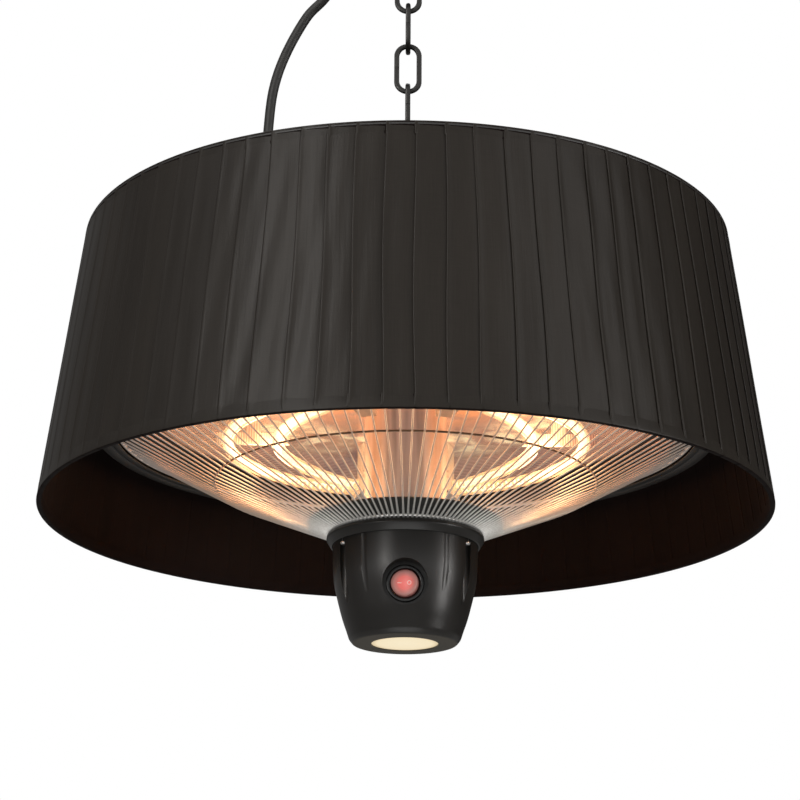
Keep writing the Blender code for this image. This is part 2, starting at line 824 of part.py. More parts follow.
def make_hem(name, top, parent):
    """A tape folded round the edge: down the outside and across under the wire."""
    tape, reach = hem_thickness, hem_height
    corners = (
        (0, reach), (0, 0), (rim_depth, 0), (rim_depth, tape), (tape, tape), (tape, reach),
    )
    if top:
        corners = tuple((inset, shade_height - height) for inset, height in corners[::-1])
    profile = [shade_point(inset, height) for inset, height in corners]
    return turned(name, profile, pleat_count, hem_tape, parent)


def make_wire_ring(name, height, parent):
    half = frame_wire / 2
    corners = ((-half, half), (-half, -half), (half, -half), (half, half))
    profile = [shade_point(wire_middle + inset, height + up) for inset, up in corners]
    return turned(name, profile, pleat_count // 2, black_steel, parent)


def make_shade_frame(parent):
    """Both wire rings. The upper one carries three arms that meet at a hub on the stem."""
    make_wire_ring("shade_ring_bottom", wire_edge_height, parent)
    ring_height = shade_height - wire_edge_height
    ring = make_wire_ring("shade_frame_top", ring_height, parent)
    make_hem("shade_hem_top", True, parent)
    make_hem("shade_hem_bottom", False, parent)
    hub_middle = hub_bottom_z + spider_hub_thickness / 2
    hub = rod("join_spider_hub", spider_hub_radius, spider_hub_thickness, (0, 0, 1),
              (0, 0, hub_middle), 18)
    ring_radius, ring_z = shade_point(wire_middle, ring_height)
    reach = ring_radius * math.cos(math.pi / pleat_count * 2)
    for number in range(spider_arm_count):
        angle = math.radians(spider_first_arm + 360 / spider_arm_count * number)
        out = Vector((math.cos(angle), math.sin(angle), 0))
        knee = out * (reach - hem_height) + Vector((0, 0, ring_z))
        points = [out * (spider_hub_radius * share) + Vector((0, 0, hub_middle))
                  for share in spider_arm_root_shares]
        points += [knee, out * reach + Vector((0, 0, ring_z))]
        arm = as_mesh(
            tube(f"join_arm_{number}", points, frame_wire / 2 * spider_arm_wire_share, 1, None,
                 None, helper=True)
        )
        combine(ring, arm, "UNION")
    combine(ring, hub, "UNION")
    bore = rod("cut_spider_hub", stem_radius + seat_gap, spider_hub_thickness + 2 * cut_overrun,
               (0, 0, 1), (0, 0, hub_middle), 16)
    combine(ring, bore, "DIFFERENCE")


def make_dome(parent):
    """The spun housing: a shallow dome, a short side and a lip turned in under the guard."""
    hole = stem_radius + seat_gap
    side_top = lip_z + housing_side_height
    lip_inner = guard_outer_radius + guard_ring_width / 2 + seat_gap
    rise = dome_top_z - side_top
    outer = [(housing_radius * r, side_top + rise * z) for r, z in reversed(dome_shares)]
    sheet = housing_sheet
    inner = [(r - sheet * dome_inset_share, z - sheet) for r, z in outer]
    profile = (
        [(hole, dome_top_z)] + outer + [(housing_radius, side_top), (housing_radius, lip_z),
         (lip_inner, lip_z), (lip_inner, lip_z + sheet), (housing_radius - sheet, lip_z + sheet),
         (housing_radius - sheet, side_top - sheet / 2)] + inner[::-1] + [(hole, dome_inside_z)]
    )
    dome = turned("housing_dome", profile, housing_segments, housing_paint, parent)
    gland_hole = rod("cut_gland_hole", gland_thread_radius + seat_gap,
                     housing_height, (0, 0, 1), (gland_x, 0, dome_inside_z))
    combine(dome, gland_hole, "DIFFERENCE")


def make_reflector(parent):
    """A polished dish: a flat rim in the housing, a cone, and a flat roof over the tubes."""
    rim_out = (housing_radius - housing_sheet) * math.cos(math.pi / housing_segments) - seat_gap
    rim_in = rim_out - reflector_rim_width
    rim_z = lip_z + reflector_rim_above_lip
    hole = column_radius + seat_gap
    roof, sheet = reflector_roof_radius, reflector_sheet
    profile = (
        (hole, reflector_roof_z + sheet), (roof, reflector_roof_z + sheet),
        (rim_in + sheet / 3, rim_z + sheet), (rim_out, rim_z + sheet), (rim_out, rim_z),
        (rim_in, rim_z), (roof - sheet / 3, reflector_roof_z), (hole, reflector_roof_z),
    )
    turned("reflector_dish", profile, housing_segments, polished_sheet, parent)


def column_top():
    """Where the column's upper flange meets the dome, which slopes a little there."""
    return dome_height_at(column_radius) - housing_sheet - seat_gap


def make_column(parent):
    """The polished column, flanged under the dome and on the heat shield."""
    top = column_top()
    bottom = shield_z + shield_thickness + seat_gap
    inner, flange = column_radius - column_wall, column_flange_thickness
    hole = stem_radius + seat_gap
    profile = (
        (hole, top), (column_radius, top), (column_radius, bottom + flange),
        (column_flange_radius, bottom + flange), (column_flange_radius, bottom),
        (inner, bottom), (inner, top - flange), (hole, top - flange),
    )
    turned("reflector_column", profile, 20, polished_sheet, parent)
    sheet = shield_thickness
    shield = (
        (inner, shield_z + sheet), (guard_foot_radius, shield_z + sheet),
        (shield_radius, shield_rim_z + sheet), (shield_radius, shield_rim_z),
        (guard_foot_radius, shield_z), (inner, shield_z),
    )
    turned("heat_shield", shield, pod_segments, housing_paint, parent)


def tube_path(bend, flare, side, end_gap):
    """A heating tube's centre line: an arc beside the column, its ends square to the holders."""
    turn = math.radians(holder_angle)
    out = Vector((math.sin(turn), math.cos(turn), 0))
    across = Vector((math.cos(turn), -math.sin(turn), 0))
    end = out * (bend + flare) + across * (holder_length / 2 + end_gap)
    knee = end + across * tube_end_straight
    widest = math.atan2(knee.y, knee.x)
    quarter = [(end.x, end.y)]
    for i in range(tube_arc_steps // 2 + 1):
        share = 1 - 2 * i / tube_arc_steps
        radius = bend + (knee.length - bend) * share**3
        quarter.append((radius * math.cos(share * widest), radius * math.sin(share * widest)))
    whole = quarter + [(x, -y) for x, y in reversed(quarter[:-1])]
    return [(side * x, y, tube_z) for x, y in whole]


def make_tubes(parent):
    """Two glass tubes a side, each round a filament wire, with the bore open at both ends."""
    for side_name, side in (("left", -1), ("right", 1)):
        for ring_name, bend, flare in (("outer", outer_tube_bend, outer_tube_flare),
                                       ("inner", inner_tube_bend, inner_tube_flare)):
            path = tube_path(bend, flare, side, 2 * seat_gap)
            name = f"{ring_name}_{side_name}"
            glass = as_mesh(
                tube(f"heating_tube_{name}", path, tube_radius, 2, hot_glass, parent)
            )
            ends = [Vector(point) for point in path]
            longer = (
                [ends[0] + (ends[0] - ends[1]).normalized() * cut_overrun] + ends[1:-1]
                + [ends[-1] + (ends[-1] - ends[-2]).normalized() * cut_overrun]
            )
            bore = as_mesh(tube(f"cut_bore_{name}", longer, tube_radius - tube_wall, 0, None,
                                None, helper=True))
            combine(glass, bore, "DIFFERENCE")
            tube(f"filament_{name}", path, filament_radius, 0, hot_filament, parent)


def make_tube_supports(parent):
    """A ceramic holder at each end of a pair of tubes, and a clip over its middle."""
    underside = reflector_roof_z - seat_gap
    for side_name, side in (("left", -1), ("right", 1)):
        for end_name, end in (("rear", 1), ("front", -1)):
            turn = math.radians(holder_angle)
            out = Vector((side * math.sin(turn), end * math.cos(turn), 0))
            place = out * holder_mid_radius + Vector((0, 0, tube_z))
            angle = math.atan2(out.y, out.x)
            name = f"tube_holder_{end_name}_{side_name}"
            holder = block(name, (holder_width, holder_length, holder_height), white_ceramic,
                           parent, place, angle)
            post_bottom = tube_z + holder_height / 2 - holder_round
            post_height = underside - post_bottom
            post_depth = holder_length * holder_post_depth_share
            post = block(f"join_{name}", (holder_post_width, post_depth, post_height),
                         None, None, (place.x, place.y, post_bottom + post_height / 2), angle,
                         helper=True)
            combine(holder, post, "UNION")
        inner_x, outer_x = inner_tube_bend, outer_tube_bend
        notch = (tube_radius + 2 * seat_gap) / math.cos(math.pi / 12)
        top, mid = tube_z + clip_bar_height, (inner_x + outer_x) / 2
        post = clip_post_width / 2
        outline = (
            [(inner_x - notch - clip_overhang, tube_z)]
            + arc((inner_x, tube_z), notch, 180, 0, 6) + arc((outer_x, tube_z), notch, 180, 0, 6)
            + [(outer_x + notch + clip_overhang, tube_z),
               (outer_x + notch + clip_overhang, top), (mid + post, top), (mid + post, underside),
               (mid - post, underside), (mid - post, top),
               (inner_x - notch - clip_overhang, top)]
        )
        curve = flat_curve(f"tube_clip_{side_name}", [outline], clip_thickness)
        clip = finish(bpy.data.objects.new(f"tube_clip_{side_name}", curve), bright_steel, parent)
        clip.rotation_euler = (math.pi / 2, 0, 0 if side > 0 else math.pi)
        as_mesh(clip)


def guard_point(radius):
    """The guard's middle surface: two straight slopes that meet at the middle ring."""
    if radius < guard_mid_radius:
        share = (radius - guard_foot_radius) / (guard_mid_radius - guard_foot_radius)
        return guard_foot_z + (guard_mid_z - guard_foot_z) * share
    share = (radius - guard_mid_radius) / (guard_outer_radius - guard_mid_radius)
    return guard_mid_z + (guard_outer_z - guard_mid_z) * share


def make_guard(parent):
    """The wire guard: straight-sided wires of one width between its foot and outer rings."""
    half_ring = guard_ring_width / 2
    radii = (guard_foot_radius - half_ring, guard_foot_radius + half_ring, guard_mid_radius,
             guard_outer_radius - half_ring, guard_outer_radius + half_ring)
    mesh = bpy.data.meshes.new("wire_guard")
    work = bmesh.new()
    rows = []
    for radius in radii:
        row = []
        half_wire = math.asin(guard_wire / 2 / radius)
        for wire in range(guard_wire_count):
            middle = 2 * math.pi * (wire + 0.5) / guard_wire_count
            for angle in (middle - half_wire, middle + half_wire):
                place = (radius * math.cos(angle), radius * math.sin(angle), guard_point(radius))
                row.append(work.verts.new(place))
        rows.append(row)
    around = 2 * guard_wire_count
    for number, (inner, outer) in enumerate(zip(rows, rows[1:])):
        on_ring = number in (0, len(radii) - 2)
        for i in range(0, around, 1 if on_ring else 2):
            after = (i + 1) % around
            work.faces.new((inner[i], outer[i], outer[after], inner[after]))
    loose = [vertex for vertex in work.verts if not vertex.link_faces]
    bmesh.ops.delete(work, geom=loose, context="VERTS")
    work.to_mesh(mesh)
    work.free()
    guard = finish(bpy.data.objects.new("wire_guard", mesh), chrome_wire, parent)
    thicken = guard.modifiers.new("Wire thickness", "SOLIDIFY")
    thicken.thickness = guard_wire
    thicken.offset = 0
    half = guard_wire / 2
    low = guard_mid_z + guard_wire * guard_bend_share + seat_gap
    ring = (
        (guard_mid_radius - half, low + guard_wire), (guard_mid_radius + half, low + guard_wire),
        (guard_mid_radius + half, low + half), (guard_mid_radius - half, low),
    )
    turned("guard_mid_ring", ring, guard_wire_count // 2, chrome_wire, parent)


def make_collar(parent):
    """The collar: the guard's foot sits on it, and its skirt goes over the pod's top."""
    seat_z, plate = collar_seat_z, collar_plate
    spigot_top = shield_z - seat_gap
    skirt_inner = pod_top_radius + seat_gap
    hole, spigot = collar_wire_hole_radius, collar_spigot_radius
    profile = (
        (hole, spigot_top), (spigot, spigot_top), (spigot, seat_z), (collar_top_radius, seat_z),
        (collar_lip_radius, seat_z - collar_lip_drop),
        (collar_skirt_radius, seat_z - collar_height), (skirt_inner, seat_z - collar_height),
        (skirt_inner, seat_z - plate), (hole, seat_z - plate),
    )
    collar = turned("pod_collar", profile, pod_segments, pod_plastic, parent)
    for number, place in enumerate(pod_screw_places(seat_z - plate)):
        hole = rod(f"cut_collar_screw_{number}", pod_screw_radius + seat_gap, plate, (0, 0, 1),
                   place, 8)
        combine(collar, hole, "DIFFERENCE")


def pod_screw_places(z):
    """The four screws stand in the grooves, mirrored left to right and front to rear."""
    turn = math.radians(pod_screw_angle)
    x, y = groove_axis_radius * math.sin(turn), groove_axis_radius * math.cos(turn)
    return [Vector((side * x, end * y, z)) for end in (-1, 1) for side in (-1, 1)]


def make_pod(parent):
    """The moulded pod: a tapering cup with four screw grooves, a switch well and a lamp hole."""
    drop = pod_top_radius - pod_bottom_radius
    outer = [(pod_top_radius - drop * r, pod_top_z - pod_height * z) for z, r in pod_shares]
    ease = pod_edge_round
    outer += [(pod_bottom_radius, pod_bottom_z + ease), (pod_bottom_radius - ease, pod_bottom_z)]
    body = turned("pod_body", [(0, pod_top_z)] + outer + [(0, pod_bottom_z)], pod_segments,
                  pod_plastic, parent)
    floor_z = pod_bottom_z + pod_floor
    inner = [(pod_top_radius - drop * r - pod_wall, pod_top_z - pod_height * z)
             for z, r in pod_inner_shares]
    inner.append((pod_bottom_radius - pod_wall, floor_z))
    cavity = turned("cut_pod_cavity",
                    [(0, pod_top_z + cut_overrun), (inner[0][0], pod_top_z + cut_overrun)]
                    + inner + [(0, floor_z)], pod_segments, None, None, helper=True)
    groove_top = pod_top_z - groove_top_drop
    boss_bottom = groove_top - groove_length
    for number, place in enumerate(pod_screw_places(0)):
        boss_top = pod_top_z + cut_overrun * 2
        boss = rod(f"keep_boss_{number}", boss_radius, boss_top - boss_bottom, (0, 0, 1),
                   place + Vector((0, 0, (boss_top + boss_bottom) / 2)), 8)
        combine(cavity, boss, "DIFFERENCE")
    front = pod_radius_at(switch_z)
    floor_y = switch_recess_depth - front
    well_back = floor_y + switch_well_wall
    well = rod("keep_switch_well", switch_recess_radius + switch_well_wall,
               well_back + front + cut_overrun, (0, 1, 0),
               (0, (well_back - front - cut_overrun) / 2, switch_z), 16)
    combine(cavity, well, "DIFFERENCE")
    combine(body, cavity, "DIFFERENCE")
    for number, place in enumerate(pod_screw_places(0)):
        groove = rod(f"cut_groove_{number}", groove_radius, groove_length, (0, 0, 1),
                     place + Vector((0, 0, groove_top - groove_length / 2)), 10)
        combine(body, groove, "DIFFERENCE")
        shaft = rod(f"cut_screw_hole_{number}", pod_screw_radius + seat_gap,
                    2 * groove_top_drop + cut_overrun, (0, 0, 1),
                    place + Vector((0, 0, groove_top)), 8)
        combine(body, shaft, "DIFFERENCE")
    recess_front = front + cut_overrun
    recess = rod("cut_switch_recess", switch_recess_radius, floor_y + recess_front, (0, 1, 0),
                 (0, (floor_y - recess_front) / 2, switch_z), 20)
    combine(body, recess, "DIFFERENCE")
    neck = rod("cut_switch_neck", bezel_body_radius + seat_gap,
               switch_well_wall + 2 * cut_overrun, (0, 1, 0),
               (0, floor_y + switch_well_wall / 2, switch_z), 20)
    combine(body, neck, "DIFFERENCE")
    lamp = rod("cut_lamp_hole", lens_radius + seat_gap, 2 * pod_floor + cut_overrun, (0, 0, 1),
               (0, 0, pod_bottom_z), 24)
    combine(body, lamp, "DIFFERENCE")
    return floor_y


def pod_radius_at(z):
    """The pod's outer radius at a height, read between its profile's points."""
    share = (pod_top_z - z) / pod_height
    drop = pod_top_radius - pod_bottom_radius
    for (z0, r0), (z1, r1) in zip(pod_shares, pod_shares[1:]):
        if z0 <= share <= z1:
            return pod_top_radius - drop * (r0 + (r1 - r0) * (share - z0) / (z1 - z0))
    return pod_bottom_radius


def make_pod_screws(parent):
    """Pan-head screws up through the bosses into the collar, their heads in the grooves."""
    head_top = pod_top_z - groove_top_drop - seat_gap
    shank_top = collar_seat_z - collar_plate + collar_plate / 3
    head = pod_screw_head_radius
    low = head_top - pod_screw_head_height
    profile = (
        (0, shank_top), (pod_screw_radius, shank_top), (pod_screw_radius, head_top),
        (head, head_top), (head * pod_screw_crown_share, low), (0, low),
    )
    names = ("front_left", "front_right", "rear_left", "rear_right")
    for name, place in zip(names, pod_screw_places(0)):
        turned(f"pod_screw_{name}", profile, 8, bright_steel, parent, place)


def make_switch(floor_y, parent):
    """The round switch: a flanged cup in the pod's well, and its rocker on two pins."""
    sides = 20
    seat_y = floor_y - seat_gap
    profile = (
        (0, bezel_back - bezel_body_depth), (bezel_bore_radius, bezel_back - bezel_body_depth),
        (bezel_bore_radius, bezel_flange), (bezel_radius, bezel_flange), (bezel_radius, 0),
        (bezel_body_radius, 0), (bezel_body_radius, -bezel_body_depth), (0, -bezel_body_depth),
    )
    bezel = turned("switch_bezel", profile, sides, dark_plastic, parent, (0, seat_y, switch_z))
    bezel.rotation_euler.x = math.pi / 2
    place = (0, seat_y, switch_z)
    hinge = pivot("rocker_pivot", place, parent)
    outline = (
        (-rocker_radius - cut_overrun, -rocker_edge_front), (0, -rocker_middle_front),
        (rocker_radius + cut_overrun, -rocker_edge_front), (rocker_radius, rocker_back),
        (-rocker_radius, rocker_back),
    )
    slab = flat_curve("switch_rocker", [outline], 3 * rocker_radius)
    rocker = finish(bpy.data.objects.new("switch_rocker", slab), switch_red, hinge, place)
    rocker.rotation_euler.z = -math.radians(rocker_rest_tilt)
    rocker = as_mesh(rocker)
    tilt = Matrix.Rotation(-math.radians(rocker_rest_tilt), 3, "Z")
    disc = rod("keep_rocker_disc", rocker_radius, 4 * rocker_radius, tilt @ Vector((0, 1, 0)),
               place, 24)
    combine(rocker, disc, "INTERSECT")
    reach = bezel_bore_radius * math.cos(math.pi / sides) - seat_gap
    pin = rod("join_rocker_pin", rocker_pin_radius, 2 * reach, (0, 0, 1), place, 8)
    combine(rocker, pin, "UNION")
    return hinge


def make_lamp(parent):
    """The round lens in the pod's floor, held from inside by its flange, under its module."""
    low = pod_bottom_z + lens_recess
    flange_low = pod_bottom_z + pod_floor + seat_gap
    flange_top = flange_low + lens_flange_thickness
    lens = (
        (0, flange_top), (lens_flange_radius, flange_top), (lens_flange_radius, flange_low),
        (lens_radius, flange_low), (lens_radius, low), (0, low),
    )
    turned("led_lens", lens, 24, lens_white, parent)
    skirt_low = flange_top + seat_gap
    top = skirt_low + module_skirt
    module = (
        (0, top), (module_radius, top), (module_radius, skirt_low),
        (module_radius - module_wall, skirt_low), (module_radius - module_wall, top - module_wall),
        (0, top - module_wall),
    )
    turned("led_module", module, 20, led_board_white, parent)


def dome_height_at(radius):
    """The dome's outer height at a radius, read between its profile's points."""
    side_top = lip_z + housing_side_height
    rise = dome_top_z - side_top
    outline = [(1.0, 0.0), *dome_shares, (0.0, 1.0)]
    share = radius / housing_radius
    for (r0, z0), (r1, z1) in zip(outline, outline[1:]):
        if r1 <= share <= r0:
            return side_top + rise * (z0 + (z1 - z0) * (r0 - share) / (r0 - r1))
    return dome_top_z


def make_gland(parent):
    """The cable gland through the dome, its cap nut, and the terminal block inside."""
    base = dome_height_at(abs(gland_x) - gland_body_radius) + seat_gap
    top = base + gland_body_height
    under = dome_height_at(abs(gland_x) + gland_body_radius) - housing_sheet * 3
    bore = cable_radius + seat_gap
    body = (
        (bore, top), (gland_body_radius, top), (gland_body_radius, base),
        (gland_thread_radius, base), (gland_thread_radius, under), (bore, under),
    )
    turned("cable_gland", body, 6, dark_plastic, parent, (gland_x, 0, 0))
    cap = top + seat_gap
    nut = (
        (bore, cap + gland_nut_height), (gland_nut_top_radius, cap + gland_nut_height),
        (gland_nut_radius, cap + gland_nut_height * gland_nut_shoulder_share),
        (gland_nut_radius, cap), (bore, cap),
    )
    turned("gland_nut", nut, 12, dark_plastic, parent, (gland_x, 0, 0))
    terminal_z = reflector_roof_z + reflector_sheet + seat_gap + terminal_height / 2
    block("terminal_block", (terminal_length, terminal_width, terminal_height), white_ceramic,
          parent, (terminal_x, 0, terminal_z), 0.0, holder_round)
    return cap + gland_nut_height


def make_cable(gland_top, coil_start, parent):
    """The free run of the cable, from the gland's nut to the start of the coil."""
    heading = math.radians(coil_start_angle + 90)
    along = Vector((math.cos(heading), math.sin(heading), 0))
    end = Vector(coil_start) - along * seat_gap
    start = Vector((gland_x, 0, gland_top + seat_gap))
    straight = Vector((0, 0, 2 * cable_radius))
    knots = [start + straight]
    knots += [Vector((x, y, shade_bottom_z + z)) for x, y, z in cable_route]
    knots.append(end - along * cable_tangent_run)
    points, length = smooth_route(knots, cable_spacing)
    tube("supply_cable", [start] + points + [end], cable_radius, 2, cable_rubber, parent)
    return length + straight.length + cable_tangent_run


def main():
    ceiling = pivot("ceiling", (0, 0, 0))
    make_ceiling_plate(ceiling)
    make_hook(ceiling)
    make_plate_screw("plate_screw_left", -plate_screw_offset, ceiling)
    make_plate_screw("plate_screw_right", plate_screw_offset, ceiling)
    make_cradle("coil_cradle_left", -1, ceiling)
    make_cradle("coil_cradle_right", 1, ceiling)
    coil_start, tail_end, heading, coil_length = make_coil(ceiling)
    make_plug(tail_end, heading, ceiling)
    heater = make_links(first_link_z, ceiling)
    make_eye(heater)
    make_stem(heater)
    make_nuts(heater)
    make_shade_layers(heater)
    make_shade_frame(heater)
    make_dome(heater)
    make_reflector(heater)
    make_column(heater)
    make_tubes(heater)
    make_tube_supports(heater)
    make_guard(heater)
    make_collar(heater)
    floor_y = make_pod(heater)
    make_pod_screws(heater)
    make_switch(floor_y, heater)
    make_lamp(heater)
    gland_top = make_gland(heater)
    free_length = make_cable(gland_top, coil_start, heater)
    print(f"cable: free run {free_length:.3f} m, coil and tail {coil_length:.3f} m")


main()
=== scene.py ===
from math import atan2, cos, exp, pi, radians, sin

import bmesh
import bpy
import numpy as np
from mathutils import Matrix, Vector


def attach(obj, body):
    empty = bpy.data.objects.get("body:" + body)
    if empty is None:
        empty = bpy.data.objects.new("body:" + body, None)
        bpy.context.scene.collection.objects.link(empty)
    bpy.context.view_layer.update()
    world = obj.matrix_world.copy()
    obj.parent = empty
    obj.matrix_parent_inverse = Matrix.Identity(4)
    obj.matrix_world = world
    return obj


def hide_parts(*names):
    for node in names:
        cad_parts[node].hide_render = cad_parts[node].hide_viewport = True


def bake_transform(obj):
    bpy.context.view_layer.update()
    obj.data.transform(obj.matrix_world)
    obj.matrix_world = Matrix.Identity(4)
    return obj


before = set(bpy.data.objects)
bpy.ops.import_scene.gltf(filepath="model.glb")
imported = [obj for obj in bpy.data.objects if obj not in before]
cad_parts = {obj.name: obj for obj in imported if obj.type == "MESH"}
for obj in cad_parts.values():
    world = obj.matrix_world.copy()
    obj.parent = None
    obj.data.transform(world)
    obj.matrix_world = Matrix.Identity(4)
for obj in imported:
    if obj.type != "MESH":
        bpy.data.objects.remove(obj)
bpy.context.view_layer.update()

# Looks of a hanging patio heater: a pleated shade round a halogen heater head, hung by a chain.
# Every piece is built in world space, in metres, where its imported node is, and rides on its body.

TAU = 2 * pi
SIDES, ENDS = (("left", -1), ("right", 1)), (("rear", 1), ("front", -1))

# ---- sizes, as in the part's source
GAP = 0.0003  # between pieces that touch
SHEET = 0.0012  # of the housing, the column and the heat shield
EYE_RISE, HUB_DROP = 0.03, 0.014  # from the shade's top edge
LIP_RISE, TUBE_RISE = 0.066, 0.0615  # from the shade's bottom edge
SIDE_RISE, ROOF_RISE, DOME_RISE, GUARD_RISE = 0.014, 0.034, 0.058, 0.0038  # from the lip
MID_DROP, FOOT_DROP = 0.0455, 0.0844  # from the guard's outer ring
HUB_T, COLLAR_T, GLAND_T, GLAND_CAP_H = 0.003, 0.003, 0.005, 0.014
PLATE_R, PLATE_T, PLATE_SCREW_X = 0.062, 0.003, 0.024
HOOK_BAR, HOOK_BEND, HOOK_DROP, HOOK_NECK = 0.006, 0.0105, 0.057, 0.005
LINKS, LINK_L, LINK_W, LINK_BAR = 6, 0.047, 0.023, 0.004
EYE_BEND, EYE_BAR = 0.0105, 0.005
STEM_R, COLUMN_R, SHIELD_R = 0.008, 0.034, 0.081
HOUSING_R, SHADE_R, SHADE_TOP_R, SHADE_H = 0.258, 0.3, 0.2712, 0.231
PLEATS, FIRST_FOLD = 78, radians(3.9)
GUARD_OUT, GUARD_MID, GUARD_FOOT = 0.239, 0.1564, 0.0627
GUARD_RING, GUARD_WIRES, GUARD_WIRE, GUARD_WIRE_R = 0.003, 108, 0.0018, 0.001
POD_TOP_R, POD_LOW_R, POD_H = 0.0592, 0.0425, 0.0856
TUBE_R, CABLE_R, CRADLE_T = 0.005, 0.00425, 0.0012
GLAND_X, GLAND_R = -0.1195, 0.0115

link_inner = LINK_L - 2 * LINK_BAR
link_pitch = link_inner - GAP
hook_z = -HOOK_DROP
first_link_z = hook_z + HOOK_BAR / 2 + GAP - link_inner / 2
last_link_z = first_link_z - (LINKS - 1) * link_pitch
eye_z = last_link_z - link_inner / 2 + GAP - (EYE_BEND - EYE_BAR / 2)
top_z = eye_z - EYE_RISE
bottom_z = top_z - SHADE_H
lip_z = bottom_z + LIP_RISE
side_z = lip_z + SIDE_RISE
dome_z = lip_z + DOME_RISE
dome_rise = dome_z - side_z
stem_top_z = eye_z - EYE_BEND - EYE_BAR / 2 - 0.004
hub_z = top_z - HUB_DROP
roof_z = lip_z + ROOF_RISE
guard_out_z = lip_z + GUARD_RISE
guard_mid_z = guard_out_z - MID_DROP
guard_foot_z = guard_out_z - FOOT_DROP
slope = (guard_mid_z - guard_foot_z) / (GUARD_MID - GUARD_FOOT)
seat_z = guard_foot_z - GUARD_RING / 2 * slope - GUARD_WIRE / 2 - GAP
shield_z = guard_foot_z + GUARD_WIRE * (1 + slope) / 2 + GAP
shield_rim_z = shield_z + (SHIELD_R - GUARD_FOOT) * slope
pod_z = seat_z - COLLAR_T - GAP
pod_low_z = pod_z - POD_H
switch_z = pod_z - POD_H * 0.54
screw_seat_z = pod_z - 0.0085
tube_z = bottom_z + TUBE_RISE
plate_under = -PLATE_T - GAP


def dome_height(radius):
    share = np.interp(radius / HOUSING_R, (0.0, 0.6, 0.91, 1.0), (1.0, 0.9, 0.5, 0.0))
    return side_z + dome_rise * float(share)


gland_base_z = dome_height(abs(GLAND_X) - GLAND_R) + GAP
gland_cap_z = gland_base_z + GLAND_T + GAP
gland_top_z = gland_cap_z + GLAND_CAP_H


def add(name, data):
    made = bpy.data.objects.new(name, data)
    bpy.context.scene.collection.objects.link(made)
    return made


# ---- camera, and then the cable
def make_camera():
    """A pinhole camera fitted to the photograph, whose focal length was found in pixels."""
    focal, photo_width = 2276.88, 800.0
    data = bpy.data.cameras.new("photo_camera")
    data.sensor_width = 36.0
    data.lens = focal * data.sensor_width / photo_width
    data.clip_start, data.clip_end = 0.05, 60.0
    pitch, pan, roll = (radians(a) for a in (17.7585, 0.162, 0.362))
    turn = (Matrix.Rotation(pan, 4, "Z") @ Matrix.Rotation(pi / 2 + pitch, 4, "X")
            @ Matrix.Rotation(roll, 4, "Z"))
    cam = add("photo_camera", data)
    cam.matrix_world = Matrix.Translation((0.0, -1.80422, -0.47684 + bottom_z)) @ turn
    bpy.context.scene.camera = cam


make_camera()


# ---- materials
class Nodes:
    """Short forms for a tree of shader nodes."""

    def __init__(self, tree):
        self.tree = tree
        self.places = tree.nodes.new("ShaderNodeTexCoord").outputs

    def put(self, value, socket):
        """Links an output to a socket, or sets the socket to a number, a vector or a colour."""
        if isinstance(value, bpy.types.NodeSocket):
            self.tree.links.new(value, socket)
        elif socket.type == "RGBA":
            socket.default_value = (*value, 1.0)
        else:
            socket.default_value = value

    def new(self, kind, sockets, out=0, **fields):
        """Adds a node with its sockets filled, and gives one of its outputs."""
        made = self.tree.nodes.new(kind)
        for key, value in fields.items():
            setattr(made, key, value)
        for key, value in sockets.items():
            self.put(value, made.inputs[key])
        return made.outputs[out]

    def texture(self, kind, scale, out="Fac", stretch=(1, 1, 1), space="Object", fields=(), **more):
        spots = self.new("ShaderNodeMapping", {"Scale": stretch, "Vector": self.places[space]})
        sockets = {"Vector": spots, "Scale": scale, **more}
        return self.new("ShaderNodeTex" + kind, sockets, out, **dict(fields))

    def noise(self, scale, detail=3.0, rough=0.5, stretch=(1, 1, 1), space="Object", warp=0.0):
        return self.texture("Noise", scale, "Fac", stretch, space, Detail=detail, Roughness=rough,
                            Distortion=warp)

    def wave(self, scale, distort, band):
        fields = {"wave_type": band, "bands_direction": "Z", "rings_direction": "Z"}
        return self.texture("Wave", scale, fields=fields, Distortion=distort)

    def math(self, kind, a, b=0.0):
        return self.new("ShaderNodeMath", {0: a, 1: b}, operation=kind)

    def times(self, a, b):
        return self.math("MULTIPLY", a, b)

    def radius(self, centre=(0, 0, 0), axes=(0, 1)):
        """Distance from an axis through the centre."""
        offs = [self.math("SUBTRACT", self.xyz()[axis], float(centre[axis])) for axis in axes]
        return self.math("SQRT", self.math("ADD", *(self.times(off, off) for off in offs)))

    def xyz(self):
        return self.new("ShaderNodeSeparateXYZ", {0: self.places["Object"]}).node.outputs

    def span(self, value, low, high, out_low=0.0, out_high=1.0, ease="SMOOTHSTEP"):
        ends = {"Value": value, "From Min": low, "From Max": high, "To Min": out_low,
                "To Max": out_high}
        return self.new("ShaderNodeMapRange", ends, "Result", interpolation_type=ease)

    def line(self, value, low, high, out_low=0.0, out_high=1.0):
        return self.span(value, low, high, out_low, out_high, "LINEAR")

    def ramp(self, value, *stops):
        made = self.new("ShaderNodeValToRGB", {"Fac": value}, "Color")
        points = made.node.color_ramp.elements
        while len(points) < len(stops):
            points.new(0.5)
        for point, (place, colour) in zip(points, stops):
            point.position, point.color = place, (*colour, 1.0)
        return made

    def mix(self, share, a, b):
        made = self.new("ShaderNodeMix", {}, data_type="RGBA").node
        for socket, value in zip([s for s in made.inputs if s.enabled], (share, a, b)):
            self.put(value, socket)
        return next(s for s in made.outputs if s.enabled)


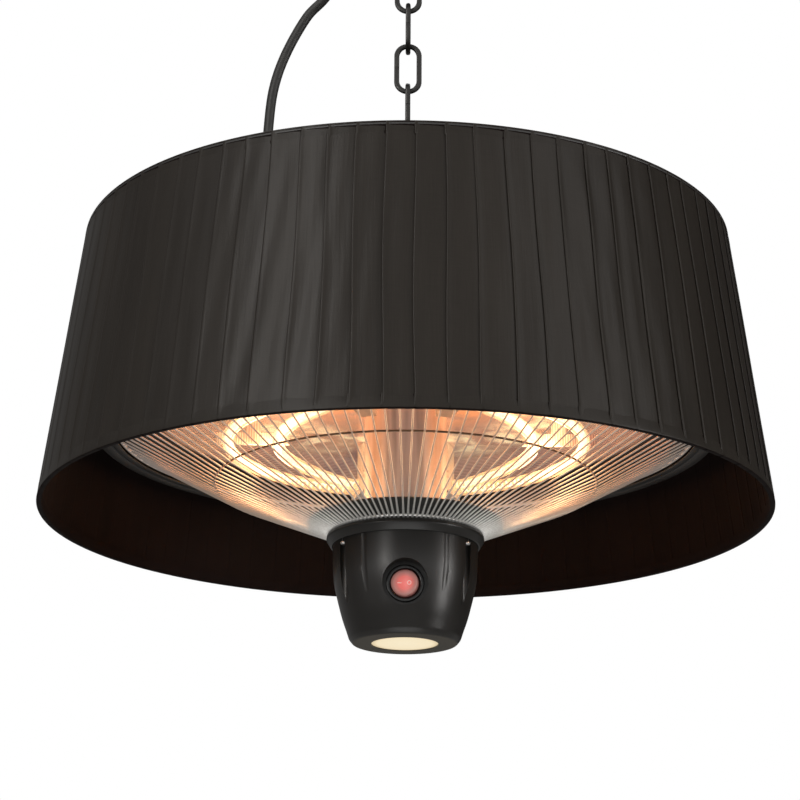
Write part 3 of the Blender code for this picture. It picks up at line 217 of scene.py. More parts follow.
class Look(Nodes):
    """A procedural material: a principled shader and the nodes that feed it."""

    def __init__(self, name, colour, roughness, metallic=0.0, specular=0.5):
        self.material = bpy.data.materials.new(name)
        self.material.use_nodes = True
        super().__init__(self.material.node_tree)
        self.shader = self.tree.nodes["Principled BSDF"]
        self.set(Base_Color=colour, Roughness=roughness, Metallic=metallic,
                 Specular_IOR_Level=specular)

    def set(self, **values):
        for key, value in values.items():
            self.put(value, self.shader.inputs[key.replace("_", " ")])

    def glow(self, shade, strength):
        self.set(Base_Color=shade, Emission_Color=shade, Emission_Strength=strength)

    def finish(self, gloss, low, high, height=None, strength=0.0, distance=0.0):
        """Roughness that follows a value and a relief that follows another."""
        self.set(Roughness=self.line(gloss, 0.0, 1.0, low, high))
        if height is not None:
            sockets = {"Height": height, "Strength": strength, "Distance": distance}
            self.set(Normal=self.new("ShaderNodeBump", sockets, "Normal"))
        return self.material


def scaled(colour, share, lift=0.0):
    return tuple(c * share + lift for c in colour)


def cloth(name, dark, light, roughness, ior):
    """Woven polyester: long slubs down the cloth, finer weft across it, and a satin face."""
    look = Look(name, light, roughness)
    slub, weft, broad, crinkle = (
        look.noise(1.0, detail, rough, (*stretch, 1.0), "UV", warp)
        for detail, rough, stretch, warp in (
            (4.0, 0.6, (1500.0, 26.0), 0.0), (2.0, 0.5, (60.0, 1500.0), 0.0),
            (3.0, 0.5, (22.0, 4.0), 0.4), (4.0, 0.6, (240.0, 10.0), 0.3)))
    threads = look.math("ADD", look.times(slub, 0.62), look.times(weft, 0.38))
    tone = look.math("ADD", look.times(threads, 0.6), look.times(broad, 0.4))
    look.set(IOR=ior, Base_Color=look.ramp(tone, (0.32, dark), (0.68, light)))
    relief = look.math("ADD", look.times(threads, 0.35), crinkle)
    return look.finish(broad, roughness - 0.05, roughness + 0.07, relief, 0.3, 0.0006)


def painted_steel(name, colour, roughness, grain=900.0, strength=0.22, metallic=0.0, specular=0.4):
    look = Look(name, colour, roughness, metallic, specular)
    patch = look.noise(14.0, 4.0, 0.55)
    stops = (0.3, scaled(colour, 0.78)), (0.72, scaled(colour, 1.35, 0.002))
    look.set(Base_Color=look.ramp(patch, *stops))
    fine = look.noise(grain, 4.0, 0.6)
    return look.finish(patch, roughness - 0.08, roughness + 0.1, fine, strength, 0.0002)


def bare_metal(name, colour, roughness):
    look = Look(name, colour, roughness, 1.0)
    fine = look.noise(600.0, 3.0, 0.6)
    stops = (0.3, scaled(colour, 0.8)), (0.7, colour)
    look.set(Base_Color=look.ramp(look.noise(30.0), *stops))
    return look.finish(fine, roughness - 0.07, roughness + 0.12, fine, 0.1, 0.0001)


def moulded(name, colour, roughness, specular):
    """Spark-eroded moulded plastic: fine even grain, with faint flow marks."""
    look = Look(name, colour, roughness, specular=specular)
    flow = look.noise(18.0, stretch=(1.0, 1.0, 0.25))
    stops = (0.3, scaled(colour, 0.85)), (0.7, scaled(colour, 1.22, 0.001))
    look.set(Base_Color=look.ramp(flow, *stops))
    fine = look.texture("Voronoi", 1400.0, "Distance")
    return look.finish(flow, roughness - 0.05, roughness + 0.07, fine, 0.25, 0.00015)


def rubber(name, colour):
    look = Look(name, colour, 0.5, specular=0.35)
    dust = look.noise(160.0, 4.0, 0.6)
    stops = (0.35, scaled(colour, 0.8)), (0.75, scaled(colour, 1.7))
    look.set(Base_Color=look.ramp(dust, *stops))
    return look.finish(dust, 0.4, 0.62, look.wave(520.0, 1.5, "BANDS"), 0.12, 0.0002)


def guard_metal(name):
    """Plated wire, heat-browned over the tubes; a painted highlight makes it bright by the foot and
    pale outside, and a painted glow of the tubes, strongest over them, lights all of it.
    """
    look = Look(name, (0.6, 0.58, 0.56), 0.28, 0.9)
    far = look.radius()
    grain = look.noise(420.0, 3.0, 0.6)
    # heat browning over the tubes, with painted highlight by the foot and at the outer ring
    browning_and_sheen = look.ramp(look.line(far, 0.055, 0.245),
                     (0.0, (0.92, 0.91, 0.88)), (0.14, (0.8, 0.77, 0.72)),
                     (0.3, (0.56, 0.45, 0.36)), (0.6, (0.5, 0.38, 0.29)),
                     (0.82, (0.6, 0.49, 0.42)), (1.0, (0.76, 0.68, 0.62)))
    # painted glow: the tubes' light given as emission, strongest over them
    painted_tube_glow = look.times(look.span(far, 0.078, 0.115), look.span(far, 0.248, 0.225))
    look.set(Base_Color=look.mix(look.span(grain, 0.3, 0.8, 0.0, 0.25), browning_and_sheen, (0.26, 0.2, 0.16)),
             Emission_Color=browning_and_sheen, Emission_Strength=look.line(painted_tube_glow, 0.0, 1.0, 0.09, 0.22))
    return look.finish(grain, 0.22, 0.42, grain, 0.08, 0.0001)


def reflector_metal(name):
    """The polished dish, painted as the tubes light it: salmon painted glow with mauve bands,
    painted orange glow by the column, a painted gold reflection of the tubes, painted shade towards
    the rim and a painted dark band on the outer slope, all with a painted glow.
    """
    look = Look(name, (0.8, 0.5, 0.3), 0.3, 0.7)
    far = look.radius()
    fine = look.noise(26.0, 3.0, 0.6, (1.0, 1.0, 0.4), warp=0.8)
    spin = look.wave(150.0, 0.6, "RINGS")
    shade = look.ramp(look.noise(7.0, 3.0, 0.55, warp=1.5), (0.34, (0.4, 0.25, 0.215)),
                      (0.52, (0.56, 0.34, 0.25)), (0.7, (0.68, 0.42, 0.26)))
    ring = look.times(look.span(far, 0.085, 0.125), look.span(far, 0.185, 0.14))
    # painted reflection of the tubes, gold, over the ring where they lie
    painted_tube_reflection = look.times(ring, look.span(fine, 0.4, 0.66))
    # painted orange glow by the column
    painted_column_glow = look.times(look.span(far, 0.1, 0.04), look.span(fine, 0.34, 0.58))
    rim = look.times(look.span(far, 0.175, 0.24), 0.65)
    # painted shade: the outer slope turns dark
    unlit = look.span(far, 0.208, 0.2135)
    for share, colour in ((painted_tube_reflection, (0.96, 0.84, 0.56)), (painted_column_glow, (0.85, 0.38, 0.15)),
                          (rim, (0.36, 0.25, 0.21)), (unlit, (0.02, 0.014, 0.011))):
        shade = look.mix(share, shade, colour)
    lit = look.math("ADD", look.times(look.span(far, 0.245, 0.12), 0.26), 0.07)
    look.glow(shade, look.math("ADD", lit, look.times(painted_tube_reflection, 0.2)))
    return look.finish(spin, 0.2, 0.34, spin, 0.06, 0.0002)


def column_metal(name):
    """Polished tube: mauve grey streaks of painted reflection in the middle, a painted orange
    reflection of the tubes' glow on both flanks, thin painted highlight streaks, and a painted glow
    over all of it.
    """
    look = Look(name, (0.5, 0.38, 0.32), 0.42, 0.3)
    streak = look.noise(1.0, 2.0, 0.5, (90.0, 90.0, 3.0), warp=0.3)
    # thin painted highlight streaks
    glint_streak = look.noise(1.0, 2.0, 0.5, (260.0, 260.0, 6.0))
    shade = look.ramp(streak, (0.3, (0.15, 0.125, 0.125)), (0.45, (0.24, 0.205, 0.2)),
                      (0.58, (0.34, 0.295, 0.285)), (0.72, (0.5, 0.44, 0.42)))
    aside = look.math("DIVIDE", look.math("ABSOLUTE", look.xyz()[0]), COLUMN_R)
    # painted orange reflection of the tubes' glow on both flanks
    shade = look.mix(look.span(aside, 0.4, 0.72, 0.0, 0.55), shade, (0.48, 0.26, 0.13))
    shade = look.mix(look.span(glint_streak, 0.66, 0.76), shade, (0.88, 0.82, 0.77))
    look.glow(shade, look.span(aside, 0.3, 0.75, 0.2, 0.24))
    return look.finish(streak, 0.36, 0.5)


def glow_glass(name):
    """Quartz tube: see-through, tinted by the filament inside it."""
    look = Look(name, (1.0, 0.62, 0.25), 0.08)
    frost = look.noise(240.0, 3.0, 0.6)
    look.set(Base_Color=look.ramp(frost, (0.3, (1.0, 0.62, 0.32)), (0.7, (1.0, 0.82, 0.58))),
             Emission_Color=look.ramp(frost, (0.3, (1.0, 0.56, 0.24)), (0.7, (1.0, 0.76, 0.46))),
             Emission_Strength=0.46, Alpha=0.46)
    return look.finish(frost, 0.05, 0.16)


def filament_metal(name):
    look = Look(name, (1.0, 0.8, 0.5), 0.4)
    flicker = look.noise(210.0, 3.0, 0.7)
    heat = look.ramp(flicker, (0.32, (1.0, 0.62, 0.32)), (0.5, (1.0, 0.84, 0.6)),
                     (0.68, (1.0, 0.95, 0.84)))
    look.set(Emission_Color=heat, Emission_Strength=1.5)
    return look.finish(flicker, 0.35, 0.5)


def lit_red(name, centre, reach):
    """The rocker's clear red cap, lit from behind: brightest in the middle, paler at its rim."""
    look = Look(name, (0.55, 0.08, 0.07), 0.22, specular=0.4)
    far = look.radius(centre, (0, 2))
    shade = look.ramp(look.line(far, 0.0, reach), (0.0, (0.9, 0.2, 0.18)),
                      (0.45, (0.76, 0.17, 0.15)), (0.8, (0.5, 0.22, 0.195)),
                      (1.0, (0.3, 0.12, 0.105)))
    look.glow(shade, look.span(far, 0.0, reach, 0.5, 0.14))
    return look.finish(look.noise(900.0, 2.0), 0.28, 0.4)


def mark_print(name):
    look = Look(name, (0.9, 0.55, 0.5), 0.4)
    grain = look.noise(500.0)
    look.set(Base_Color=look.ramp(grain, (0.3, (0.85, 0.48, 0.44)), (0.7, (0.98, 0.66, 0.6))),
             Emission_Color=look.ramp(grain, (0.3, (0.9, 0.45, 0.4)), (0.7, (1.0, 0.62, 0.55))),
             Emission_Strength=0.45)
    return look.material


def lamp_lens(name):
    look = Look(name, (0.3, 0.26, 0.18), 0.45, specular=0.1)
    far = look.radius()
    frost = look.noise(1100.0, 2.0)
    light = look.ramp(look.line(far, 0.0, 0.027), (0.0, (0.98, 0.86, 0.62)),
                      (0.8, (0.96, 0.82, 0.57)), (1.0, (0.86, 0.69, 0.43)))
    look.set(Base_Color=look.ramp(frost, (0.3, (0.27, 0.235, 0.165)), (0.7, (0.33, 0.285, 0.2))),
             Emission_Color=light, Emission_Strength=look.span(far, 0.022, 0.027, 0.8, 0.66))
    return look.finish(frost, 0.35, 0.55, frost, 0.2, 0.0001)


def ceramic(name, colour, glow=0.0):
    look = Look(name, colour, 0.55)
    spot = look.noise(300.0, 4.0, 0.6)
    look.set(Base_Color=look.ramp(spot, (0.3, scaled(colour, 0.82)), (0.7, colour)),
             Emission_Color=colour, Emission_Strength=glow)
    return look.finish(spot, 0.45, 0.7, spot, 0.25, 0.0002)


shade_cloth = cloth("woven_shade", (0.013, 0.0104, 0.0082), (0.024, 0.0199, 0.016), 0.37, 1.25)
hem_cloth = cloth("woven_hem", (0.0128, 0.0103, 0.0081), (0.0236, 0.0196, 0.0157), 0.39, 1.24)
# the lining's red-brown tone is partly painted glow from the tubes
lining_cloth = cloth("woven_lining", (0.0034, 0.0018, 0.0015), (0.0084, 0.0044, 0.0037), 0.6, 1.15)
chain_black = painted_steel("blackened_chain", (0.015, 0.0138, 0.0122), 0.38, 700.0, 0.18, 0.3, 0.5)
frame_black = painted_steel("coated_frame", (0.02, 0.019, 0.018), 0.46)
housing_black = painted_steel("heatproof_paint", (0.026, 0.025, 0.024), 0.44, 1200.0, 0.2, 0, 0.35)
shield_black = painted_steel("dark_shield", (0.03, 0.029, 0.027), 0.4, 900.0, 0.15, 0.4, 0.4)
steel = bare_metal("zinc_steel", (0.62, 0.61, 0.6), 0.3)
guard_chrome = guard_metal("heat_tinted_wire_painted_sheen")
ring_brown = bare_metal("heat_browned_ring", (0.26, 0.17, 0.11), 0.36)
dish_metal = reflector_metal("dish_painted_glow")
streaked = column_metal("streaked_column_painted_glow")
pod_black = moulded("moulded_pod", (0.011, 0.0099, 0.0087), 0.31, 0.46)
# a paler copy of the pod's black for its bottom face: painted light from the floor below
pod_base_painted_light = moulded("moulded_pod_base", (0.062, 0.055, 0.043), 0.5, 0.25)
bezel_black = moulded("moulded_bezel", (0.007, 0.007, 0.0068), 0.2, 0.5)
deep_black = moulded("moulded_black", (0.007, 0.007, 0.0068), 0.36, 0.22)
cable_black = rubber("cable_sheath", (0.015, 0.0145, 0.0133))
quartz = glow_glass("glowing_quartz")
hot_wire = filament_metal("glowing_filament")
porcelain = ceramic("white_porcelain", (0.62, 0.56, 0.5))
# a copy of the porcelain with the tubes' glow painted on: painted light
glow_painted_porcelain = ceramic("glow_lit_porcelain", (0.6, 0.36, 0.22), 0.12)
board_white = ceramic("board_white", (0.72, 0.72, 0.7))
lens_glow = lamp_lens("lamp_lens")
pin_metal = bare_metal("nickel_pins", (0.72, 0.68, 0.6), 0.25)


# ---- mesh helpers
def mm(r, z, *pairs):
    """Points of a profile in millimetres, from a radius and a height in metres."""
    return [(r + a / 1000, z + b / 1000) for a, b in pairs]


def turn_out(mesh):
    work = bmesh.new()
    work.from_mesh(mesh)
    bmesh.ops.recalc_face_normals(work, faces=work.faces)
    work.to_mesh(mesh)
    work.free()


def mesh_of(verts, faces, uvs=None):
    mesh = bpy.data.meshes.new("mesh")
    mesh.from_pydata([tuple(v) for v in verts], [], faces)
    mesh.validate()
    if uvs is not None:
        layer = mesh.uv_layers.new(name="cloth")
        index = np.empty(len(mesh.loops), np.int32)
        mesh.loops.foreach_get("vertex_index", index)
        layer.data.foreach_set("uv", np.asarray(uvs, np.float32)[index].ravel())
    turn_out(mesh)
    return mesh


def smooth(mesh, sharp):
    mesh.polygons.foreach_set("use_smooth", [True] * len(mesh.polygons))
    mesh.set_sharp_from_angle(angle=radians(sharp))
    mesh.update()


def piece(name, solid, sharp, material, replaces="", body="heater"):
    """A piece that rides on its body, from a mesh or from vertices and faces."""
    mesh = solid if isinstance(solid, bpy.types.Mesh) else mesh_of(*solid)
    mesh.name = name
    smooth(mesh, sharp)
    if not mesh.materials:
        mesh.materials.append(material)
    made = add(name, mesh)
    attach(made, body)
    if replaces:
        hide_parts(replaces)
    return made


def dress(node, material):
    """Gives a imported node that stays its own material."""
    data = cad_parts[node].data
    data.materials.clear()
    data.materials.append(material)


def rounded(profile, radius, steps=3, closed=True):
    """The profile with each corner eased by a small arc."""
    points = [Vector(p) for p in profile]
    count = len(points)
    made = []
    for i, here in enumerate(points):
        before, after = points[i - 1], points[(i + 1) % count]
        back, ahead = before - here, after - here
        reach = min(radius, back.length * 0.45, ahead.length * 0.45)
        if reach < 1e-6 or here.x < 1e-6 or (not closed and i in (0, count - 1)):
            made.append(tuple(here))
            continue
        a, b = here + back.normalized() * reach, here + ahead.normalized() * reach
        for k in range(steps + 1):
            t = k / steps
            made.append(tuple((1 - t) ** 2 * a + 2 * t * (1 - t) * here + t**2 * b))
    return made


def revolve(profile, segments, centre=(0, 0, 0), axis="Z"):
    """Vertices and faces of a profile of (radius, height) turned round an axis."""
    verts, faces, rings = [], [], []
    for r, z in profile:
        count = 1 if r < 1e-7 else segments
        rings.append([len(verts) + i % count for i in range(segments)])
        verts += [(r * cos(TAU * i / segments), r * sin(TAU * i / segments), z) if count > 1
                  else (0.0, 0.0, z) for i in range(count)]
    single = [ring[0] == ring[-1] for ring in rings]
    pairs = list(zip(rings, rings[1:], single, single[1:]))
    if not single[0] and not single[-1]:
        pairs.append((rings[-1], rings[0], False, False))
    for a, b, point_a, point_b in pairs:
        for i in range(segments):
            j = (i + 1) % segments
            if point_a and point_b:
                continue
            if point_a:
                faces.append((a[0], b[i], b[j]))
            elif point_b:
                faces.append((a[i], b[0], a[j]))
            else:
                faces.append((a[i], b[i], b[j], a[j]))
    if axis == "Y":
        verts = [(x, z, y) for x, y, z in verts]
        faces = [f[::-1] for f in faces]
    cx, cy, cz = centre
    return [(x + cx, y + cy, z + cz) for x, y, z in verts], faces


def turned(profile, segments, ease, steps=3, centre=(0, 0, 0), axis="Z"):
    """A profile with eased corners, turned; it is closed unless both its ends are on the axis."""
    closed = profile[0][0] > 1e-7 or profile[-1][0] > 1e-7
    return revolve(rounded(profile, ease, steps, closed), segments, centre, axis)


def frames_along(path, closed=False):
    """Two directions across a path at each point, turned as little as possible."""
    path = np.asarray(path, float)
    if closed:
        along = np.roll(path, -1, 0) - np.roll(path, 1, 0)
    else:
        along = np.gradient(path, axis=0)
    along /= np.linalg.norm(along, axis=1)[:, None]
    start = np.array((0.0, 0.0, 1.0)) if abs(along[0][2]) < 0.9 else np.array((1.0, 0.0, 0.0))
    side = np.cross(along[0], start)
    side /= np.linalg.norm(side)
    sides = [side]
    for t in along[1:]:
        side = side - t * (side @ t)
        side /= np.linalg.norm(side)
        sides.append(side)
    sides = np.array(sides)
    return sides, np.cross(along, sides)


def sleeve(rings, around, closed=False, first=0):
    """The faces between rings of as many vertices each."""
    faces = []
    for i in range(rings if closed else rings - 1):
        a, b = first + i * around, first + ((i + 1) % rings) * around
        faces += [(a + k, a + (k + 1) % around, b + (k + 1) % around, b + k) for k in range(around)]
    return faces


def sweep(path, radius, sides=12, closed=False):
    """A round tube down a path; the radius is a number or one a point."""
    path = np.asarray(path, float)
    count = len(path)
    radii = np.full(count, radius) if np.isscalar(radius) else np.asarray(radius, float)
    across, up = frames_along(path, closed)
    angle = (TAU * np.arange(sides) / sides)[None, :, None]
    ring = across[:, None] * np.cos(angle) + up[:, None] * np.sin(angle)
    verts = (path[:, None] + ring * radii[:, None, None]).reshape(-1, 3)
    faces = sleeve(count, sides, closed)
    if not closed:
        last = (count - 1) * sides
        faces += [tuple(range(sides))[::-1], tuple(range(last, last + sides))]
    return verts.tolist(), faces


def merged(*parts):
    verts, faces = [], []
    for more, their in parts:
        base = len(verts)
        verts += [tuple(v) for v in more]
        faces += [tuple(i + base for i in face) for face in their]
    return verts, faces


def circle(radius, z, count):
    return [(radius * cos(TAU * i / count), radius * sin(TAU * i / count), z) for i in range(count)]


def run_of(points):
    """How far along a line each of its points lies."""
    return np.concatenate([[0], np.cumsum(np.linalg.norm(np.diff(points, axis=0), axis=1))])


def at_runs(points, run, places):
    return np.stack([np.interp(places, run, points[:, k]) for k in range(3)], axis=1)


def evenly(points, spacing):
    points = np.array([tuple(p) for p in points], float)
    run = run_of(points)
    return at_runs(points, run, np.linspace(0, run[-1], max(2, round(run[-1] / spacing) + 1)))


def curve_through(knots, spacing):
    """Evenly spaced points on a smooth line through the knots."""
    ends = [2 * knots[0] - knots[1], *knots, 2 * knots[-1] - knots[-2]]
    fine = []
    for a, b, c, d in zip(ends, ends[1:], ends[2:], ends[3:]):
        steps = max(4, int((c - b).length / 0.0005))
        for i in range(steps):
            t = i / steps
            fine.append(0.5 * (2 * b + (c - a) * t + (2 * a - 5 * b + 4 * c - d) * t**2
                               + (3 * b - a - 3 * c + d) * t**3))
    return evenly(fine + [knots[-1]], spacing)


def soften(points, rounds):
    """Corner cutting, which keeps the two ends."""
    points = [Vector(p) for p in points]
    for _ in range(rounds):
        cut = [points[0]]
        for a, b in zip(points, points[1:]):
            cut += [a.lerp(b, 0.25), a.lerp(b, 0.75)]
        points = cut + [points[-1]]
    return points


def soften_flat(points, rounds):
    return [(p.x, p.y) for p in soften([(a, b, 0) for a, b in points], rounds)]


def box_mesh(size, place, turn, ease):
    work = bmesh.new()
    bmesh.ops.create_cube(work, size=1.0, matrix=Matrix.Diagonal((*size, 1.0)))
    if ease:
        bmesh.ops.bevel(work, geom=work.edges[:], offset=ease, segments=3, affect="EDGES",
                        profile=0.6)
    move = Matrix.Translation(place) @ Matrix.Rotation(turn, 4, "Z")
    bmesh.ops.transform(work, verts=work.verts, matrix=move)
    mesh = bpy.data.meshes.new("box")
    work.to_mesh(mesh)
    work.free()
    return mesh


def tool(solid):
    """An object that cuts, joins or bounds a mesh in carve."""
    return add("tool", solid if isinstance(solid, bpy.types.Mesh) else mesh_of(*solid))


def rod_tool(radius, length, place, axis="Z", sides=48):
    half = length / 2
    profile = [(0, half), (radius, half), (radius, -half), (0, -half)]
    return tool(revolve(profile, sides, place, axis))


def carve(mesh, cuts=(), joins=(), bounds=()):
    """A mesh with tools joined to it, then what lies inside the bounds, less the cuts."""
    made = add("carved", mesh)
    for operation, tools in (("UNION", joins), ("INTERSECT", bounds), ("DIFFERENCE", cuts)):
        for other in tools:
            change = made.modifiers.new("cut", "BOOLEAN")
            change.operation, change.object, change.solver = operation, other, "EXACT"
    bpy.context.view_layer.update()
    shaped = made.evaluated_get(bpy.context.evaluated_depsgraph_get())
    result = bpy.data.meshes.new_from_object(shaped)
    for gone in (made, *joins, *bounds, *cuts):
        old = gone.data
        bpy.data.objects.remove(gone)
        bpy.data.meshes.remove(old)
    return result


# ---- the cable
TAIL_TURN = radians(15.0)
tail_way = Vector((cos(TAIL_TURN), sin(TAIL_TURN), 0))


def coil_knots():
    """The stowed coil: in on the lower layer, out on the upper, then the tail to the plug."""
    turns, per, out_r, pitch, start = 4, 20, 0.056, 0.01, radians(285.0)
    upper = plate_under - CABLE_R
    lower = upper - pitch
    layer = (turns - 0.5) / 2
    inner = out_r - pitch * layer
    points = []
    for i in range(turns * per + 1):
        done = i / per
        share = min(max((done - layer) / 0.5, 0.0), 1.0)
        r = out_r - pitch * done if done <= layer else inner + pitch * max(0, done - layer - 0.5)
        z = lower + pitch * (3 * share**2 - 2 * share**3) if share < 1 else upper
        angle = start + TAU * done
        points.append(Vector((r * cos(angle), r * sin(angle), z)))
    level = points[-1] + tail_way * 0.04
    low = level + tail_way * 0.03
    low.z = -0.0205
    tail = [points[-1] + tail_way * 0.014, points[-1] + tail_way * 0.027, level,
            level.lerp(low, 0.5), low, low + tail_way * 2 * CABLE_R]
    return [points[0] - tail_way * 2 * CABLE_R, *points, *tail]


CABLE_ROUTE = (  # in millimetres, with heights over the shade's bottom edge
    (-119.5, 0, 170), (-120.5, -1, 215), (-121.2, -2, 265), (-121, -3, 310), (-120.2, -4, 344.2),
    (-116.3, -6, 381.7), (-106.2, -9, 413.7), (-88.8, -14, 446), (-73.6, -18, 462),
    (-58, -28, 480), (-44, -39, 499), (-31, -50, 517), (-18, -58, 531),
)
CABLE_LENGTHS = (0.11, 0.053, 0.064, 0.053, 0.064, 0.053, 0.061)
BOOT = ((7.0, 0.2), (7.2, 3), (6.6, 5.5), (6.6, 7.2), (6.2, 7.6), (6.2, 9.4), (6.0, 9.8), (6.0, 12),
        (5.7, 12.4), (5.7, 14.8), (5.4, 15.2), (5.4, 18), (4.9, 24))


def make_plug(start):
    """The moulded two-pin plug at the tail's end, lying along the cable."""
    relief, body, big = 0.02, 0.032, 0.0185
    end = relief + body
    profile = [(0, GAP), (0.0051, GAP)]
    for i in range(6):
        profile += mm(0.0052 + 0.0014 * (i + 1) / 6, 0.0022 + i * 0.003,
                      (0, 0), (0.4, 0.4), (0.4, 1.8), (0, 2.2))
    profile += [(big * r, relief + body * z) for r, z in ((0.72, 0.12), (0.95, 0.27), (1, 0.4))]
    profile += [(big, end - 0.0034), (big * 0.94, end - 0.0008), (big * 0.8, end), (0, end)]
    verts, faces = turned(profile, 56, 0.0009)
    place = (Matrix.Translation(start) @ Matrix.Rotation(TAIL_TURN, 4, "Z")
             @ Matrix.Rotation(pi / 2, 4, "Y"))
    plug = piece("mains_plug_body", ([place @ Vector(v) for v in verts], faces), 35, deep_black,
                 "mains_plug", "ceiling_mount")
    pins = []
    across = Vector((-tail_way.y, tail_way.x, 0))
    for side in (-1, 1):
        base = start + tail_way * (end - 0.002) + across * side * 0.0095
        steps = [base + tail_way * 0.021 * s for s in (0, 0.45, 0.93, 0.98, 1.0)]
        pins.append(sweep(steps, [0.0024, 0.0024, 0.0024, 0.0019, 0.0008], 20))
    return [plug, piece("mains_plug_pins", merged(*pins), 40, pin_metal,
                        "mains_plug", "ceiling_mount")]


def cable_line(coil_start):
    start = Vector((GLAND_X, 0, gland_top_z + GAP))
    knots = [start, start + Vector((0, 0, 2 * CABLE_R))]
    knots += [Vector((x / 1000, y / 1000, bottom_z + z / 1000)) for x, y, z in CABLE_ROUTE]
    return curve_through(knots + [coil_start - tail_way * 0.013, coil_start], 0.0022)


def make_cable():
    """The hanging run in seven lengths, one across each joint of the chain, then the coil."""
    spots = coil_knots()
    line = cable_line(spots[0])
    run = run_of(line)
    ends = np.concatenate([[0], np.cumsum(CABLE_LENGTHS)]) / sum(CABLE_LENGTHS) * run[-1]
    foot, edge = gland_top_z, CABLE_R + 0.0001
    boot = piece("cable_boot", turned(
        [(edge, foot + 0.0002), *mm(0, foot, *BOOT), (edge, foot + 0.0244)], 40, 0.0003, 2,
        (GLAND_X, 0, 0)), 32, deep_black)
    for i, (low, high) in enumerate(zip(ends, ends[1:])):
        inside = (run > low + 0.0004) & (run < high - 0.0004)
        first, last = at_runs(line, run, (low, high))
        path = np.concatenate([[first], line[inside], [last]])
        part = add(f"supply_cable_{i + 1}", mesh_of(*sweep(path, CABLE_R, 18)))
        smooth(part.data, 60)
        part.data.materials.append(cable_black)
        if i:
            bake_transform(part)
        else:  # from the link to the heater: the other way round tears at all limits together
            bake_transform(part)
        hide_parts("supply_cable")
    plug = make_plug(spots[-1])
    curve = bpy.data.curves.new("supply_cable_coil", "CURVE")
    curve.dimensions = "3D"
    curve.bevel_depth, curve.bevel_resolution, curve.resolution_u = CABLE_R, 6, 6
    curve.use_fill_caps = True
    spline = curve.splines.new("BEZIER")
    spline.bezier_points.add(len(spots) - 1)
    for point, place in zip(spline.bezier_points, spots):
        point.co = place
        point.handle_left_type = point.handle_right_type = "AUTO"
    coil = add("supply_cable_coil", curve)
    curve.materials.append(cable_black)
    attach(coil, "ceiling_mount")
    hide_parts("cable_coil")


make_cable()


# ---- ceiling plate, hook and chain
def screw(name, place, bar, top, head_z, head, sides, slot, turn, node, body="heater"):
    """A pan head screw, head down, with a cross in its head; the head is in millimetres."""
    profile = [(0, top), (bar, top), (bar, head_z), *mm(0, head_z, *head)]
    spot = (place[0], place[1], profile[-1][1])
    cross = [tool(box_mesh(slot, spot, turn + quarter, 0)) for quarter in (0, pi / 2)]
    solid = mesh_of(*turned(profile, sides, 0.0003, 2, place))
    piece(name, carve(solid, cross), 30, steel, node, body)


def make_ceiling():
    disc = turned([(0, 0), (PLATE_R, 0), (PLATE_R, -PLATE_T), (0, -PLATE_T)], 96, 0.0011, 4)
    holes = [rod_tool(0.0023, 0.02, (s * PLATE_SCREW_X, 0, 0), sides=24) for s in (-1, 1)]
    piece("ceiling_plate_disc", carve(mesh_of(*disc), holes), 30, frame_black,
          "ceiling_plate", "ceiling_mount")
    centre_z = hook_z + HOOK_BEND
    neck_z = centre_z + HOOK_BEND + HOOK_NECK
    bowl = [(0, HOOK_BEND * cos(a), centre_z + HOOK_BEND * sin(a))
            for a in np.radians(np.linspace(50, -205, 34))]
    shank = [(0, 0, plate_under - 0.001), (0, 0, neck_z + 0.004), (0, 0, neck_z)]
    path = evenly(soften(shank + bowl, 2), 0.0012)
    radii = np.full(len(path), HOOK_BAR / 2)
    radii[-3:] *= (0.95, 0.78, 0.35)
    collar = mm(0, plate_under, (0, 0), (7.5, 0), (7.5, -4), (3.4, -4.8), (0, -4.8))
    piece("ceiling_hook_bar", merged(sweep(path, radii, 18), turned(collar, 40, 0.0008)), 40,
          chain_black, "ceiling_hook", "ceiling_mount")
    head_z = plate_under - GAP - CRADLE_T - GAP
    head = (4.2, 0), (4.2, -1.2), (3.4, -2.3), (1.6, -2.6), (0, -2.6)
    for name, side in SIDES:
        place = (side * PLATE_SCREW_X, 0, 0)
        screw(f"plate_screw_pan_{name}", place, 0.002, -GAP, head_z, head, 32,
              (0.004, 0.0008, 0.003), 0.4, f"plate_screw_{name}", "ceiling_mount")
        dress(f"coil_cradle_{name}", steel)


